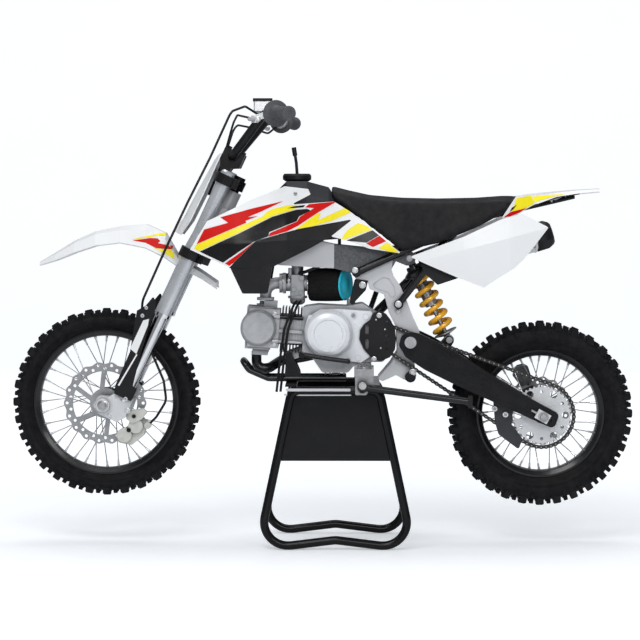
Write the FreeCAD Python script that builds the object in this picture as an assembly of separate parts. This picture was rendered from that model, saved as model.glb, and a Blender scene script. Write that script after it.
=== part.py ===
import FreeCAD, Part

import math
import os

from FreeCAD import Placement, Rotation, Vector

# Small off-road motorcycle held on a paddock stand, in millimetres.
# +Z is up and the floor is z = 0. The front of the machine points to -X, its left side to -Y.
# The origin is on the floor, midway between the front of the front tyre and the back of the rear one.

# Driving dimensions of the whole machine
wheelbase = 1128.0
front_axle_z = 367.0
rear_axle_z = 338.0
rake_deg = 25.0

# Tyres and rims
front_lug_tip_r = 244.0
front_lug_height = 11.0
front_tyre_half_width = 34.0
front_rim_r = 188.5
front_rim_half_width = 20.0
front_rows = 32
rear_lug_tip_r = 240.5
rear_lug_height = 13.0
rear_tyre_half_width = 42.0
rear_rim_r = 166.0
rear_rim_half_width = 26.0
rear_rows = 32
lug_share_of_pitch = 0.42
bead_gap = 0.6
shoulder_drop = 10.0

# Rim section, measured from its flange tip inwards
rim_flange_wall = 3.0
rim_bead_drop = 10.0
rim_well_drop = 12.5
rim_inner_drop = 16.5

# Spokes and hubs
spoke_count = 36
spoke_r = 1.4
spoke_cross_deg = 40.0
spoke_stagger = 2.2
spoke_end_gap = 0.3
nipple_r = 3.0
nipple_length = 15.0
hub_flange_r = 36.0
hub_flange_wall = 5.0
hub_barrel_r = 19.0
front_hub_reach = 8.0
front_flange_y = 24.0
rear_hub_reach = 8.0
rear_flange_y = 28.0

# Brake discs
disc_wall = 3.5
front_disc_r = 107.0
front_disc_y = -50.0
rear_disc_r = 92.0
rear_disc_y = 56.0
disc_band = 24.0
disc_waves = 18
disc_wave = 2.5
disc_hole_r = 4.0
disc_arm_sweep_deg = 22.0

# Sprocket holes, which alternate between two sizes
sprocket_hole_at = 61.0
sprocket_hole_r = 9.5
sprocket_small_hole_r = 4.5

# Axles
axle_r = 7.0
axle_gap = 0.3
axle_nut_r = 13.0
axle_nut_wall = 9.0

# Fork, in a frame that leans back with the steering axis: lead is forward, lift is along the axis
fork_leg_lead = 30.0
axle_lead = 70.0
fork_leg_y = 88.0
outer_tube_r = 21.0
outer_tube_top_r = 18.0
outer_tube_low = 278.0
outer_tube_top = 674.0
outer_taper_low = 466.0
outer_taper_high = 500.0
inner_tube_r = 16.5
inner_tube_low = 30.0
seal_r = 22.5
seal_height = 9.0
lower_clamp_low = 432.0
lower_clamp_height = 26.0
top_clamp_low = 642.0
top_clamp_height = 26.0
clamp_wall = 8.0
stem_r = 12.0
stem_gap = 0.3
head_tube_r = 21.0
head_tube_end_gap = 6.0
fork_lug_half = 15.0
fork_lug_boss_r = 23.0

# Handlebar
bar_r = 11.1
bar_lift = 716.0
bar_lead = 38.0
bar_clamp_y = 42.0
bar_clamp_half = 15.0
bar_clamp_lead_half = 28.0
bar_clamp_cap_height = 17.0
bar_straight_y = 83.0
bar_bend_x = -146.0
bar_bend_y = 170.0
bar_bend_z = 1109.0
bar_end_x = -80.0
bar_end_y = 376.0
bar_end_z = 1102.0
bar_bend_r = 45.0
hose_r = 3.2
cable_r = 2.8
hose_bend_r = 34.0
grip_length = 116.0
grip_r = 17.0
grip_flange_r = 32.0
grip_flange_wall = 6.0

# Frame
spar_inner_y = 38.0
spar_wall = 14.0
pivot_x = 225.5
pivot_z = 528.0
pivot_bolt_r = 8.0
pivot_bolt_y = 112.0
tube_r = 10.0
subframe_y = 66.0

# Swingarm
arm_inner_y = 78.0
arm_wall = 26.0
arm_cross_x = 288.0
arm_cross_z = 474.0
arm_cross_r = 21.0
arm_end_slope_deg = 27.0
adjuster_wall = 6.0
shock_low_x = 329.0
shock_low_z = 529.0
shock_top_x = 225.0
shock_top_z = 741.0
shock_eye_r = 13.0
spring_r = 25.0
spring_wire_r = 5.5
spring_turns = 6.0
spring_low = 28.0
spring_high = 182.0

# Chain drive
chain_pitch = 12.7
chain_links = 100
chain_y = -63.0
chain_plate_height = 11.5
chain_plate_reach = 4.2
chain_plate_wall = 1.6
chain_inner_half = 3.4
chain_roller_r = 3.6
front_sprocket_x = 157.0
front_sprocket_z = 545.0
front_teeth = 14
rear_teeth = 41
sprocket_wall = 5.0
sprocket_gap = 1.0

# Engine
guard_y = 36.0
guard_tube_r = 8.0
crank_x = 16.0
crank_z = 548.0
cylinder_tilt_deg = 4.0
case_left_y = -50.0
case_right_y = 56.0
fit_gap = 0.3

# Paddock stand
stand_half_width = 144.0
stand_tube_r = 11.0
stand_top_z = 422.0
stand_mid_x = 34.0
stand_leg_top_half = 112.0
stand_foot_half = 196.0
stand_foot_rise = 14.0
stand_foot_flat = 115.0
stand_foot_bend_r = 60.0
stand_top_bend_r = 28.0
stand_strap_wall = 4.0

# Side stand, folded
side_stand_x = 102.0
side_stand_y = -180.0
side_stand_z = 419.0
side_stand_r = 9.0
side_stand_length = 276.0
side_stand_drop_deg = 7.5
side_stand_axis_deg = -20.0
side_stand_bolt_r = 6.0
side_stand_side_gap = 1.0
footpeg_bracket_y = 166.0

# Body panels
panel_wall = 3.0
seat_cavity_y = 79.0


def span(a, b):
    return min(a, b), max(a, b)


def block(x, y, z):
    """Box between three pairs of limits."""
    (x0, x1), (y0, y1), (z0, z1) = span(*x), span(*y), span(*z)
    return Part.makeBox(x1 - x0, y1 - y0, z1 - z0, Vector(x0, y0, z0))


def rod(start, end, radius):
    """Cylinder from one point to another."""
    start, end = Vector(start), Vector(end)
    axis = end - start
    return Part.makeCylinder(radius, axis.Length, start, axis)


def rod_y(x, z, y0, y1, radius):
    y0, y1 = span(y0, y1)
    return Part.makeCylinder(radius, y1 - y0, Vector(x, y0, z), Vector(0, 1, 0))


def rounded_edges(points, radius, closed):
    """Edges of a line through the points. Its corners are rounded to one radius, or to a list of one each."""
    pts = [Vector(p) for p in points]
    count = len(pts)
    radii = radius if isinstance(radius, list) else [radius] * count
    straight = math.radians(89.0)
    halves = []
    for i in range(count):
        a, b = pts[i - 1] - pts[i], pts[(i + 1) % count] - pts[i]
        at_end = not closed and i in (0, count - 1)
        halves.append(straight if at_end else a.getAngle(b) / 2)
    wanted = [r / math.tan(h) if r > 0 and h < straight else 0.0 for r, h in zip(radii, halves)]

    def share(i, j):
        both = wanted[i] + wanted[j]
        return min(1.0, 0.98 * (pts[i] - pts[j]).Length / both) if both > 0 else 1.0

    corners = []
    for i, p in enumerate(pts):
        before, after = (i - 1) % count, (i + 1) % count
        if wanted[i] <= 0:
            corners.append((p, None, p))
            continue
        run = wanted[i] * min(share(i, before), share(i, after))
        a, b = (pts[before] - p).normalize(), (pts[after] - p).normalize()
        reach = run / math.cos(halves[i]) - run * math.tan(halves[i])
        corners.append((p + a * run, p + (a + b).normalize() * reach, p + b * run))
    edges = []
    for i in range(count if closed else count - 1):
        leave, arrive = corners[i][2], corners[(i + 1) % count][0]
        if (arrive - leave).Length > 1e-6:
            edges.append(Part.LineSegment(leave, arrive).toShape())
        start, middle, end = corners[(i + 1) % count]
        if middle is not None:
            edges.append(Part.Arc(start, middle, end).toShape())
    return edges


def plate(points, y0, y1, radius=0.0, holes=()):
    """Plate with a side outline of (x, z) points, from y0 to y1. Each hole is (x, z, radius)."""
    y0, y1 = span(y0, y1)
    edges = rounded_edges([(x, y0, z) for x, z in points], radius, True)
    face = Part.Face(Part.Wire(Part.__sortEdges__(edges)))
    solid = face.extrude(Vector(0, y1 - y0, 0))
    for x, z, r in holes:
        solid = solid.cut(rod_y(x, z, y0 - 1, y1 + 1, r))
    return solid


def flat(points, z0, z1, radius=0.0):
    """Plate with a plan outline of (x, y) points, from z0 to z1."""
    edges = rounded_edges([(x, y, z0) for x, y in points], radius, True)
    face = Part.Face(Part.Wire(Part.__sortEdges__(edges)))
    return face.extrude(Vector(0, 0, z1 - z0))


def tube(points, radius, bend, closed=False):
    """Round tube along a line of points, with bends of a given radius."""
    edges = rounded_edges(points, bend, closed)
    path = Part.Wire(Part.__sortEdges__(edges))
    start = edges[0].Vertexes[0].Point if closed else Vector(points[0])
    heading = edges[0].tangentAt(edges[0].FirstParameter)
    ring = Part.Wire(Part.Circle(start, heading, radius).toShape())
    return path.makePipeShell([ring], True, False)


def revolve_y(profile, x=0.0, z=0.0):
    """Solid turned about an axis along Y. The profile is (y, radius) points."""
    wire = Part.makePolygon([Vector(r, y, 0) for y, r in profile] + [Vector(profile[0][1], profile[0][0], 0)])
    solid = Part.Face(wire).revolve(Vector(0, 0, 0), Vector(0, 1, 0), 360)
    solid.translate(Vector(x, 0, z))
    return solid


def revolve_z(profile):
    """Solid turned about the Z axis. The profile is (radius, z) points."""
    wire = Part.makePolygon([Vector(r, 0, z) for r, z in profile] + [Vector(profile[0][0], 0, profile[0][1])])
    return Part.Face(wire).revolve(Vector(0, 0, 0), Vector(0, 0, 1), 360)


def loft(sections, ruled=True):
    wires = [Part.makePolygon([Vector(p) for p in s] + [Vector(s[0])]) for s in sections]
    return Part.makeLoft(wires, True, ruled)


def rectangle(centre, half_x, half_y):
    """Corners of a level rectangle."""
    return [centre + Vector(sx * half_x, sy * half_y, 0) for sx, sy in ((-1, -1), (1, -1), (1, 1), (-1, 1))]


def upright_edges(shape):
    """Straight edges that run along Z."""
    return [e for e in shape.Edges if abs(e.tangentAt(e.FirstParameter).z) > 0.999]


def fuse(shapes):
    whole = shapes[0].fuse(shapes[1:]) if len(shapes) > 1 else shapes[0]
    return whole.removeSplitter()


def mirrored(shape):
    return shape.mirror(Vector(0, 0, 0), Vector(0, 1, 0))


def turned_y(shape, angle_deg, x=0.0, z=0.0):
    """Copy turned about an axis along +Y through (x, z)."""
    copy = shape.copy()
    copy.rotate(Vector(x, 0, z), Vector(0, 1, 0), angle_deg)
    return copy


def moved(shape, x=0.0, y=0.0, z=0.0):
    copy = shape.copy()
    copy.translate(Vector(x, y, z))
    return copy


# Derived places
overall_length = front_lug_tip_r + wheelbase + rear_lug_tip_r
front_axle_x = -overall_length / 2 + front_lug_tip_r
rear_axle_x = overall_length / 2 - rear_lug_tip_r
rake = math.radians(rake_deg)
axis_foot = Vector(front_axle_x + axle_lead * math.cos(rake), 0, front_axle_z - axle_lead * math.sin(rake))
fork_place = Placement(axis_foot, Rotation(Vector(0, 1, 0), rake_deg))
stand_tube_top = stand_top_z - stand_strap_wall + 1.0


def on_fork(shape):
    """Carries a shape from the leaning fork frame (x is rearward, z is lift) into the machine."""
    copy = shape.copy()
    copy.Placement = fork_place.multiply(copy.Placement)
    return copy


def fork_point(lead, y, lift):
    return fork_place.multVec(Vector(-lead, y, lift))


# Wheels

def faceted_ring(section, count):
    """Ring of flat facets. The section is (y, radius) points, and radii are those of the flats."""
    grow = 1 / math.cos(math.pi / count)
    rings = []
    for i in range(count):
        a = 2 * math.pi * (i + 0.5) / count
        rings.append([Vector(r * grow * math.cos(a), y, r * grow * math.sin(a)) for y, r in section])
    faces = []
    for i in range(count):
        here, there = rings[i], rings[(i + 1) % count]
        for k in range(len(section)):
            n = (k + 1) % len(section)
            corners = [here[k], here[n], there[n], there[k], here[k]]
            faces.append(Part.Face(Part.makePolygon(corners)))
    return Part.Solid(Part.Shell(faces))


def planar_solid(low, high):
    """Solid between two loops of corners whose side faces are flat."""
    count = len(low)
    faces = [Part.Face(Part.makePolygon(low + [low[0]])), Part.Face(Part.makePolygon(high + [high[0]]))]
    for i in range(count):
        n = (i + 1) % count
        faces.append(Part.Face(Part.makePolygon([low[i], low[n], high[n], high[i], low[i]])))
    solid = Part.Solid(Part.Shell(faces))
    if solid.Volume < 0:
        solid.reverse()
    return solid


def lug(low_r, high_r, y0, y1, lean, length):
    """One tread block standing at the +X side of a wheel, its outer end shifted sideways by lean."""
    half, top = length / 2, length / 2 * 0.86
    inset = 1.2
    low = [Vector(low_r, y, z) for y, z in ((y0, -half), (y1, -half), (y1, half), (y0, half))]
    high = [Vector(high_r, y + lean, z)
            for y, z in ((y0 + inset, -top), (y1 - inset, -top), (y1 - inset, top), (y0 + inset, top))]
    return planar_solid(low, high)


def tyre(tip_r, lug_height, half_width, rim_r, rim_half, rows):
    """Tyre with its lugs: a faceted carcass and three blocks in each row."""
    crown = tip_r - lug_height
    bead = rim_r - rim_bead_drop + bead_gap
    seat = rim_half - rim_flange_wall - bead_gap
    side = [
        (seat, bead),
        (seat, rim_r + bead_gap),
        (half_width * 0.94, rim_r + 0.48 * (crown - rim_r)),
        (half_width * 0.88, crown - shoulder_drop),
        (half_width * 0.36, crown),
    ]
    section = [(-y, r) for y, r in side] + [(y, r) for y, r in reversed(side)]
    body = faceted_ring(section, rows)
    pitch = 2 * math.pi * crown / rows
    length = pitch * lug_share_of_pitch
    side_low, side_high = half_width * 0.46, half_width * 0.84
    middle = half_width * 0.30
    blocks = []
    for i in range(rows):
        row = [lug(crown - 2.0, tip_r, -middle, middle, 0.0, length)]
        for side in (-1, 1):
            inner, outer = span(side * side_low, side * side_high)
            row.append(lug(crown - shoulder_drop - 2.0, tip_r - 5.0, inner, outer, side * 0.14 * half_width,
                           length))
        blocks += [turned_y(b, 360.0 * i / rows) for b in row]
    return body.fuse(blocks)


def rim(rim_r, half):
    inner = rim_r - rim_inner_drop
    bead = rim_r - rim_bead_drop
    profile = [
        (-half, rim_r),
        (-half + rim_flange_wall, rim_r),
        (-half + rim_flange_wall, bead),
        (-half * 0.35, rim_r - rim_well_drop),
        (half * 0.35, rim_r - rim_well_drop),
        (half - rim_flange_wall, bead),
        (half - rim_flange_wall, rim_r),
        (half, rim_r),
        (half, rim_r - 5.0),
        (half * 0.80, inner + 2.0),
        (half * 0.45, inner),
        (-half * 0.45, inner),
        (-half * 0.80, inner + 2.0),
        (-half, rim_r - 5.0),
    ]
    return revolve_y(profile)


def hub(half, flange_y, bore_r):
    outer, wall = hub_flange_r, hub_flange_wall
    low, high = flange_y - wall / 2, flange_y + wall / 2
    end_r = hub_barrel_r + 2
    profile = [
        (-half, bore_r),
        (-half, end_r),
        (-high - 4, end_r),
        (-high, outer),
        (-low, outer),
        (-low + 5, hub_barrel_r),
        (low - 5, hub_barrel_r),
        (low, outer),
        (high, outer),
        (high + 4, end_r),
        (half, end_r),
        (half, bore_r),
    ]
    return revolve_y(profile)


def polar(radius, angle_deg, y):
    a = math.radians(angle_deg)
    return Vector(radius * math.cos(a), y, radius * math.sin(a))


def spokes(flange_y, rim_inner_r):
    """Laced spokes with their nipples."""
    solids = []
    per_side = spoke_count // 2
    step = 360.0 / per_side
    for side in (-1, 1):
        for k in range(per_side):
            rim_angle = step * k + (step / 2 if side > 0 else 0)
            leading = 1 if k % 2 == 0 else -1
            outside = side * leading
            hub_y = side * flange_y + outside * spoke_stagger * side
            foot = polar(hub_flange_r - 4.0, rim_angle + leading * spoke_cross_deg, hub_y)
            tip = polar(rim_inner_r - spoke_end_gap - 0.8, rim_angle, side * 4.0)
            along = (tip - foot).normalize()
            neck = tip - along * nipple_length
            solids += [rod(foot, neck, spoke_r), rod(neck, tip, nipple_r)]
    return solids


def brake_disc(radius, y, arms=6):
    """Waved disc with two rings of holes, carried by swept arms."""
    points = []
    steps = disc_waves * 4
    for i in range(steps):
        a = 2 * math.pi * i / steps
        wave = radius - disc_wave + disc_wave * math.cos(disc_waves * a)
        points.append(Vector(wave * math.cos(a), y - disc_wall / 2, wave * math.sin(a)))
    curve = Part.BSplineCurve()
    curve.interpolate(points, PeriodicFlag=True)
    face = Part.Face(Part.Wire(curve.toShape()))
    disc = face.extrude(Vector(0, disc_wall, 0))
    low, high = y - disc_wall, y + disc_wall
    inner = radius - disc_band
    step = 360.0 / disc_waves
    holes = []
    for i in range(disc_waves):
        for r, share in ((radius - 8.5, 0.0), (radius - 17.0, 0.5)):
            centre = polar(r, step * (i + share), 0)
            holes.append(rod_y(centre.x, centre.z, low, high, disc_hole_r))
    carrier_r = hub_flange_r + 3
    window = rod_y(0, 0, low, high, inner).cut(rod_y(0, 0, low, high, carrier_r))
    for i in range(arms):
        beam = block((0, inner + 2), (low, high), (-6, 6))
        beam = moved(turned_y(beam, disc_arm_sweep_deg), carrier_r - 6)
        window = window.cut(turned_y(beam, 360.0 * i / arms + 15))
    bore = rod_y(0, 0, low, high, hub_barrel_r + 2 + fit_gap)
    return disc.cut(holes + [window, bore])


def sprocket(teeth, y, bore_r, tip_r, hole_count=0):
    """Toothed wheel. Its tips stay inside the line of the chain's rollers."""
    points = []
    for i in range(teeth):
        for share, r in ((-0.32, tip_r - 4.0), (-0.14, tip_r), (0.14, tip_r), (0.32, tip_r - 4.0)):
            a = 2 * math.pi * (i + share) / teeth
            points.append((r * math.cos(a), r * math.sin(a)))
    holes = [(0.0, 0.0, bore_r)]
    for i in range(hole_count):
        centre = polar(sprocket_hole_at, 360.0 * i / hole_count, y)
        holes.append((centre.x, centre.z, sprocket_hole_r if i % 2 == 0 else sprocket_small_hole_r))
    return plate(points, y - sprocket_wall / 2, y + sprocket_wall / 2, 0.0, holes)


def pitch_radius(teeth):
    return chain_pitch / (2 * math.sin(math.pi / teeth))


def sprocket_tip(teeth):
    """Radius of the tooth tips, just inside the chain's link plates."""
    return pitch_radius(teeth) - chain_plate_height / 2 - sprocket_gap


def front_wheel_nodes():
    place = Vector(front_axle_x, 0, front_axle_z)
    inner = front_rim_r - rim_inner_drop
    half = -front_disc_y + front_hub_reach
    made = {
        "front_tyre": tyre(front_lug_tip_r, front_lug_height, front_tyre_half_width, front_rim_r,
                           front_rim_half_width, front_rows),
        "front_rim": rim(front_rim_r, front_rim_half_width),
        "front_hub_and_spokes": hub(half, front_flange_y, axle_r
                                    + axle_gap).fuse(spokes(front_flange_y, inner)),
        "front_brake_disc": brake_disc(front_disc_r, front_disc_y),
    }
    return {k: moved(v, place.x, 0, place.z) for k, v in made.items()}


def rear_wheel_nodes():
    place = Vector(rear_axle_x, 0, rear_axle_z)
    inner = rear_rim_r - rim_inner_drop
    half = -chain_y + rear_hub_reach
    made = {
        "rear_tyre": tyre(rear_lug_tip_r, rear_lug_height, rear_tyre_half_width, rear_rim_r,
                          rear_rim_half_width, rear_rows),
        "rear_rim": rim(rear_rim_r, rear_rim_half_width),
        "rear_hub_and_spokes": hub(half, rear_flange_y, axle_r + axle_gap).fuse(spokes(rear_flange_y, inner)),
        "rear_brake_disc": brake_disc(rear_disc_r, rear_disc_y),
        "rear_sprocket": sprocket(rear_teeth, chain_y, hub_barrel_r + 2 + fit_gap, sprocket_tip(rear_teeth),
                                  12),
    }
    return {k: moved(v, place.x, 0, place.z) for k, v in made.items()}


# Fork and steering, built in the leaning frame unless said otherwise

def fork_leg_tubes():
    """Upside-down fork: wide outer tubes above, with a seal ring at the bottom and a cap on top."""
    solids = []
    for side in (-1, 1):
        outline = [
            (0, outer_tube_low),
            (outer_tube_r, outer_tube_low),
            (outer_tube_r, outer_taper_low),
            (outer_tube_top_r, outer_taper_high),
            (outer_tube_top_r, outer_tube_top),
            (outer_tube_top_r - 4, outer_tube_top + 5),
            (0, outer_tube_top + 5),
        ]
        leg = revolve_z(outline)
        leg.translate(Vector(-fork_leg_lead, side * fork_leg_y, 0))
        solids.append(on_fork(leg))
    return solids


def fork_inner_tubes():
    """Chromed lower tubes with the seal rings round them."""
    solids = []
    for side in (-1, 1):
        base = Vector(-fork_leg_lead, side * fork_leg_y, inner_tube_low)
        inner = Part.makeCylinder(inner_tube_r, outer_tube_low - inner_tube_low, base)
        seal_base = base + Vector(0, 0, outer_tube_low - seal_height - inner_tube_low)
        seal = Part.makeCylinder(seal_r, seal_height, seal_base)
        solids.append(on_fork(inner.fuse(seal)))
    return solids


def fork_lug(side):
    """Cast foot of one fork leg, which holds the axle ahead of the leg."""
    y0, y1 = span(side * (fork_leg_y - fork_lug_half), side * (fork_leg_y + fork_lug_half))
    rear = -fork_leg_lead + inner_tube_r + 5
    outline = [
        (-axle_lead - fork_lug_boss_r, -fork_lug_boss_r * 0.55),
        (-axle_lead - fork_lug_boss_r * 0.9, fork_lug_boss_r * 0.75),
        (-axle_lead + 5, fork_lug_boss_r * 1.1),
        (-fork_leg_lead - inner_tube_r - 3, inner_tube_low + 22),
        (rear, inner_tube_low + 22),
        (rear + 4, -6),
        (rear - 12, -26),
        (-axle_lead, -fork_lug_boss_r * 1.1),
    ]
    body = plate(outline, y0, y1, 9.0)
    collar_base = Vector(-fork_leg_lead, side * fork_leg_y, inner_tube_low + 5)
    collar = Part.makeCylinder(inner_tube_r + 5, 24, collar_base)
    guard_face = fork_leg_y + seal_r + 5 - panel_wall
    boss = rod_y(-fork_leg_lead, inner_tube_low + 17, side * fork_leg_y, side * guard_face, 7)
    body = body.fuse([collar, boss])
    socket = Part.makeCylinder(inner_tube_r, 60, Vector(-fork_leg_lead, side * fork_leg_y, inner_tube_low))
    bore = rod_y(-axle_lead, 0, y0 - 1, y1 + 1, axle_r)
    return body.cut([socket, bore])


def caliper_bracket():
    """Arm from the left foot to the brake caliper."""
    y0, y1 = -fork_leg_y - 4, -fork_leg_y + 8
    rear = -fork_leg_lead + inner_tube_r + 5
    outline = [(rear + 4.6, -8), (rear + 4.6, 12), (rear + 34, 34), (rear + 50, 30), (rear + 44, 8),
               (rear + 26, -14)]
    return plate(outline, y0, y1, 6.0)


def front_caliper():
    """Twin-piston caliper that straddles the disc behind the leg."""
    rear = -fork_leg_lead + inner_tube_r + 5
    outline = [(rear + 30, 6), (rear + 58, 4), (rear + 66, -30), (rear + 48, -66), (rear + 14, -74),
               (rear - 2, -58),
               (rear + 14, -34)]
    y0, y1 = -fork_leg_y + 8, front_disc_y + 16
    body = plate(outline, y0, y1, 9.0)
    lobes = [rod_y(rear + 36, -16, y0 - 8, y0 + 1, 19), rod_y(rear + 20, -50, y0 - 8, y0 + 1, 19)]
    union = rod_y(rear + 64, -2, y0 - 7, y0 + 8, 9)
    body = fuse([body, union] + lobes)
    slot = rod_y(-axle_lead, 0, front_disc_y - disc_wall / 2 - 2, front_disc_y + disc_wall / 2 + 2,
                 front_disc_r + 4)
    return body.cut(slot)


def fork_guard(side):
    """Moulded guard beside and ahead of one inner tube, clamped round the tube at its foot."""
    front = [(-56, 40), (-62, 60), (-64, 155), (-92, 258)]
    rear = [(-77, 279), (-69, 309), (-58, 298), (-49, 275), (-47, 236), (-36, 159), (-21, 78), (-8, 74),
            (-8, 40)]
    out_y, in_y = side * (fork_leg_y + seal_r + 5), side * (fork_leg_y - 12)
    wall = plate(front + rear, *span(out_y - side * panel_wall, out_y), 3.0)
    lip = plate(front + [(x + panel_wall, z) for x, z in reversed(front)], *span(in_y, out_y - side))
    band = plate([(-56, 40), (-8, 40), (-8, 74), (-61, 74)], *span(in_y, out_y - side), 5.0)
    leg = Part.makeCylinder(inner_tube_r, 400, Vector(-fork_leg_lead, side * fork_leg_y, 0))
    return fuse([wall, lip, band]).cut([leg, fork_lug(side)])


def clamp_plate(low, height, leg_r, rear_reach):
    """Triple clamp: two leg rings joined by a bridge round the stem."""
    ring = leg_r + clamp_wall
    bridge = flat([(-fork_leg_lead - 12, -fork_leg_y), (-fork_leg_lead - 12, fork_leg_y),
                   (-fork_leg_lead + 14, fork_leg_y),
                   (stem_r + 8, 20), (stem_r + 8, -20), (-fork_leg_lead + 14, -fork_leg_y)], low, low
                   + height, 5.0)
    parts = [bridge]
    for side in (-1, 1):
        centre = Vector(-fork_leg_lead, side * fork_leg_y, low)
        parts.append(Part.makeCylinder(ring, height, centre))
        ear = block((-fork_leg_lead, -fork_leg_lead + rear_reach),
                    (side * (fork_leg_y - 9), side * (fork_leg_y + 13)),
                    (low, low + height))
        parts.append(ear)
    body = fuse(parts)
    holes = [Part.makeCylinder(leg_r, height + 2, Vector(-fork_leg_lead, s * fork_leg_y, low - 1))
             for s in (-1, 1)]
    holes += [block((-fork_leg_lead, rear_reach), (s * fork_leg_y - 1.2, s * fork_leg_y + 1.2),
                    (low - 1, low + height + 1))
              for s in (-1, 1)]
    holes.append(Part.makeCylinder(stem_r, height + 2, Vector(0, 0, low - 1)))
    return on_fork(body.cut(holes))


def steering_stem():
    nut_low = top_clamp_low + top_clamp_height
    stem = Part.makeCylinder(stem_r, nut_low - lower_clamp_low, Vector(0, 0, lower_clamp_low))
    nut = Part.makeCylinder(15, 9, Vector(0, 0, nut_low))
    return on_fork(fuse([stem, nut]))


def bar_points():
    centre = fork_point(bar_lead, 0, bar_lift)
    side = [Vector(centre.x, bar_straight_y, centre.z), Vector(bar_bend_x, bar_bend_y, bar_bend_z),
            Vector(bar_end_x, bar_end_y, bar_end_z)]
    left = [Vector(p.x, -p.y, p.z) for p in reversed(side)]
    return left + side


def handlebar():
    return tube(bar_points(), bar_r, bar_bend_r)


def bar_clamps():
    """Two cast risers on the top clamp, waisted at their feet, each with two bolts over the bar."""
    foot = top_clamp_low + top_clamp_height - bar_lift
    half, cap = bar_clamp_lead_half, bar_clamp_cap_height
    outline = [(-half, cap), (half, cap), (half, -19), (10, -28), (6, foot), (-14, foot), (-half, -16)]
    outline = [(x - bar_lead, z + bar_lift) for x, z in outline]
    solids = []
    for side in (-1, 1):
        low, high = side * bar_clamp_y - bar_clamp_half, side * bar_clamp_y + bar_clamp_half
        bolts = [Part.makeCylinder(4.5, 6, Vector(-bar_lead + s * 20, side * bar_clamp_y, bar_lift + cap))
                 for s in (-1, 1)]
        body = fuse([plate(outline, low, high, 2.0)] + bolts)
        solids.append(on_fork(body.cut(rod_y(-bar_lead, bar_lift, low - 1, high + 1, bar_r))))
    return Part.makeCompound(solids)


def grip(side):
    """Rubber grip with a broad flange at its inner end."""
    end = Vector(bar_end_x, side * bar_end_y, bar_end_z)
    bend = Vector(bar_bend_x, side * bar_bend_y, bar_bend_z)
    along = (end - bend).normalize()
    start = end - along * (grip_length - 4)
    profile = [
        (bar_r, 0),
        (grip_flange_r, 0),
        (grip_flange_r + 1.5, grip_flange_wall / 2),
        (grip_flange_r, grip_flange_wall),
        (grip_r + 5, grip_flange_wall + 3),
        (grip_r, grip_flange_wall + 12),
        (grip_r - 1, grip_length - 14),
        (grip_r + 1, grip_length - 10),
        (grip_r + 1, grip_length - 2),
        (grip_r - 2, grip_length),
        (0, grip_length),
        (0, grip_length - 4 + 0.05),
        (bar_r, grip_length - 4 + 0.05),
    ]
    body = revolve_z(profile)
    body.Placement = Placement(start, Rotation(Vector(0, 0, 1), along))
    return body


def bar_frame(side, back):
    """Place on the bar's end section, back millimetres in from its end: x is forward, z is along the bar."""
    end = Vector(bar_end_x, side * bar_end_y, bar_end_z)
    bend = Vector(bar_bend_x, side * bar_bend_y, bar_bend_z)
    along = (end - bend).normalize()
    return end - along * back, along


def lever_perch(side):
    """Clamp on the bar, its arm and the lever with a ball at the end. The arm's tip is the lever's pivot."""
    start, _ = bar_frame(side, grip_length + 34)
    stop, _ = bar_frame(side, grip_length + 12)
    middle = (start + stop) * 0.5
    pivot = middle + Vector(-44, 0, -14)
    ring = rod(start, stop, bar_r + 5)
    arm = loft([[middle + Vector(x, y, z) for x, y, z in ((-6, -10, 9), (-6, 10, 9), (-6, 10, -9),
                                                          (-6, -10, -9))],
                [pivot + Vector(x, y, z) for x, y, z in ((-6, -8, 8), (-6, 8, 8), (-6, 8, -6),
                                                         (-6, -8, -6))]])
    boss = rod(pivot - Vector(0, 0, 9), pivot + Vector(0, 0, 9), 9)
    knee = pivot + Vector(-14, side * 52, -2)
    tip = pivot + Vector(12, side * 134, -4)
    blade = tube([pivot, knee, tip], 5.0, 60.0)
    return [ring, arm, boss, blade, Part.makeSphere(7.5, tip)], middle


def lever_set(side, reservoir):
    """Lever with its perch and, on the brake side, the fluid reservoir."""
    pieces, middle = lever_perch(side)
    if reservoir:
        centre = middle + Vector(-40, -side * 16, 0)
        pot = block((centre.x - 24, centre.x + 24), (centre.y - 19, centre.y + 19),
                    (centre.z + 24, centre.z + 50))
        lid = block((centre.x - 26, centre.x + 26), (centre.y - 21, centre.y + 21),
                    (centre.z + 50, centre.z + 58))
        bore = loft([rectangle(centre + Vector(6, 0, -8), 18, 9),
                     rectangle(centre + Vector(0, 0, 25), 20, 15)])
        pieces += [pot.makeFillet(4.0, upright_edges(pot)), lid.makeFillet(5.0, upright_edges(lid)), bore]
    tool = rod(bar_frame(side, 400)[0], bar_frame(side, -10)[0], bar_r)
    return fuse(pieces).cut(tool)


def throttle_housing():
    start, _ = bar_frame(1, grip_length + 10)
    stop, _ = bar_frame(1, grip_length - 3)
    body = rod(start, stop, 21)
    tool = rod(bar_frame(1, 400)[0], bar_frame(1, -10)[0], bar_r)
    return body.cut(tool)


def number_plate():
    """Bowed plastic shield ahead of the fork, its lower lip reaching out over the fender."""
    def row(lead_mid, lead_edge, half, lift):
        front = [(-lead_edge, -half, lift), (-lead_mid, -half * 0.45, lift), (-lead_mid, half * 0.45, lift),
                 (-lead_edge, half, lift)]
        back = [(x + panel_wall, y * 0.99, z) for x, y, z in reversed(front)]
        return front + back
    sections = [row(100, 76, 60, 478), row(88, 68, 84, 520), row(84, 66, 92, 600), row(78, 68, 84, 690),
                row(74, 69, 66, 712)]
    riser_face = -bar_lead - bar_clamp_lead_half
    lugs = [rod((riser_face, s * bar_clamp_y, 706), (-74, s * bar_clamp_y, 706), 4) for s in (-1, 1)]
    return on_fork(fuse([loft(sections)] + lugs))


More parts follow.
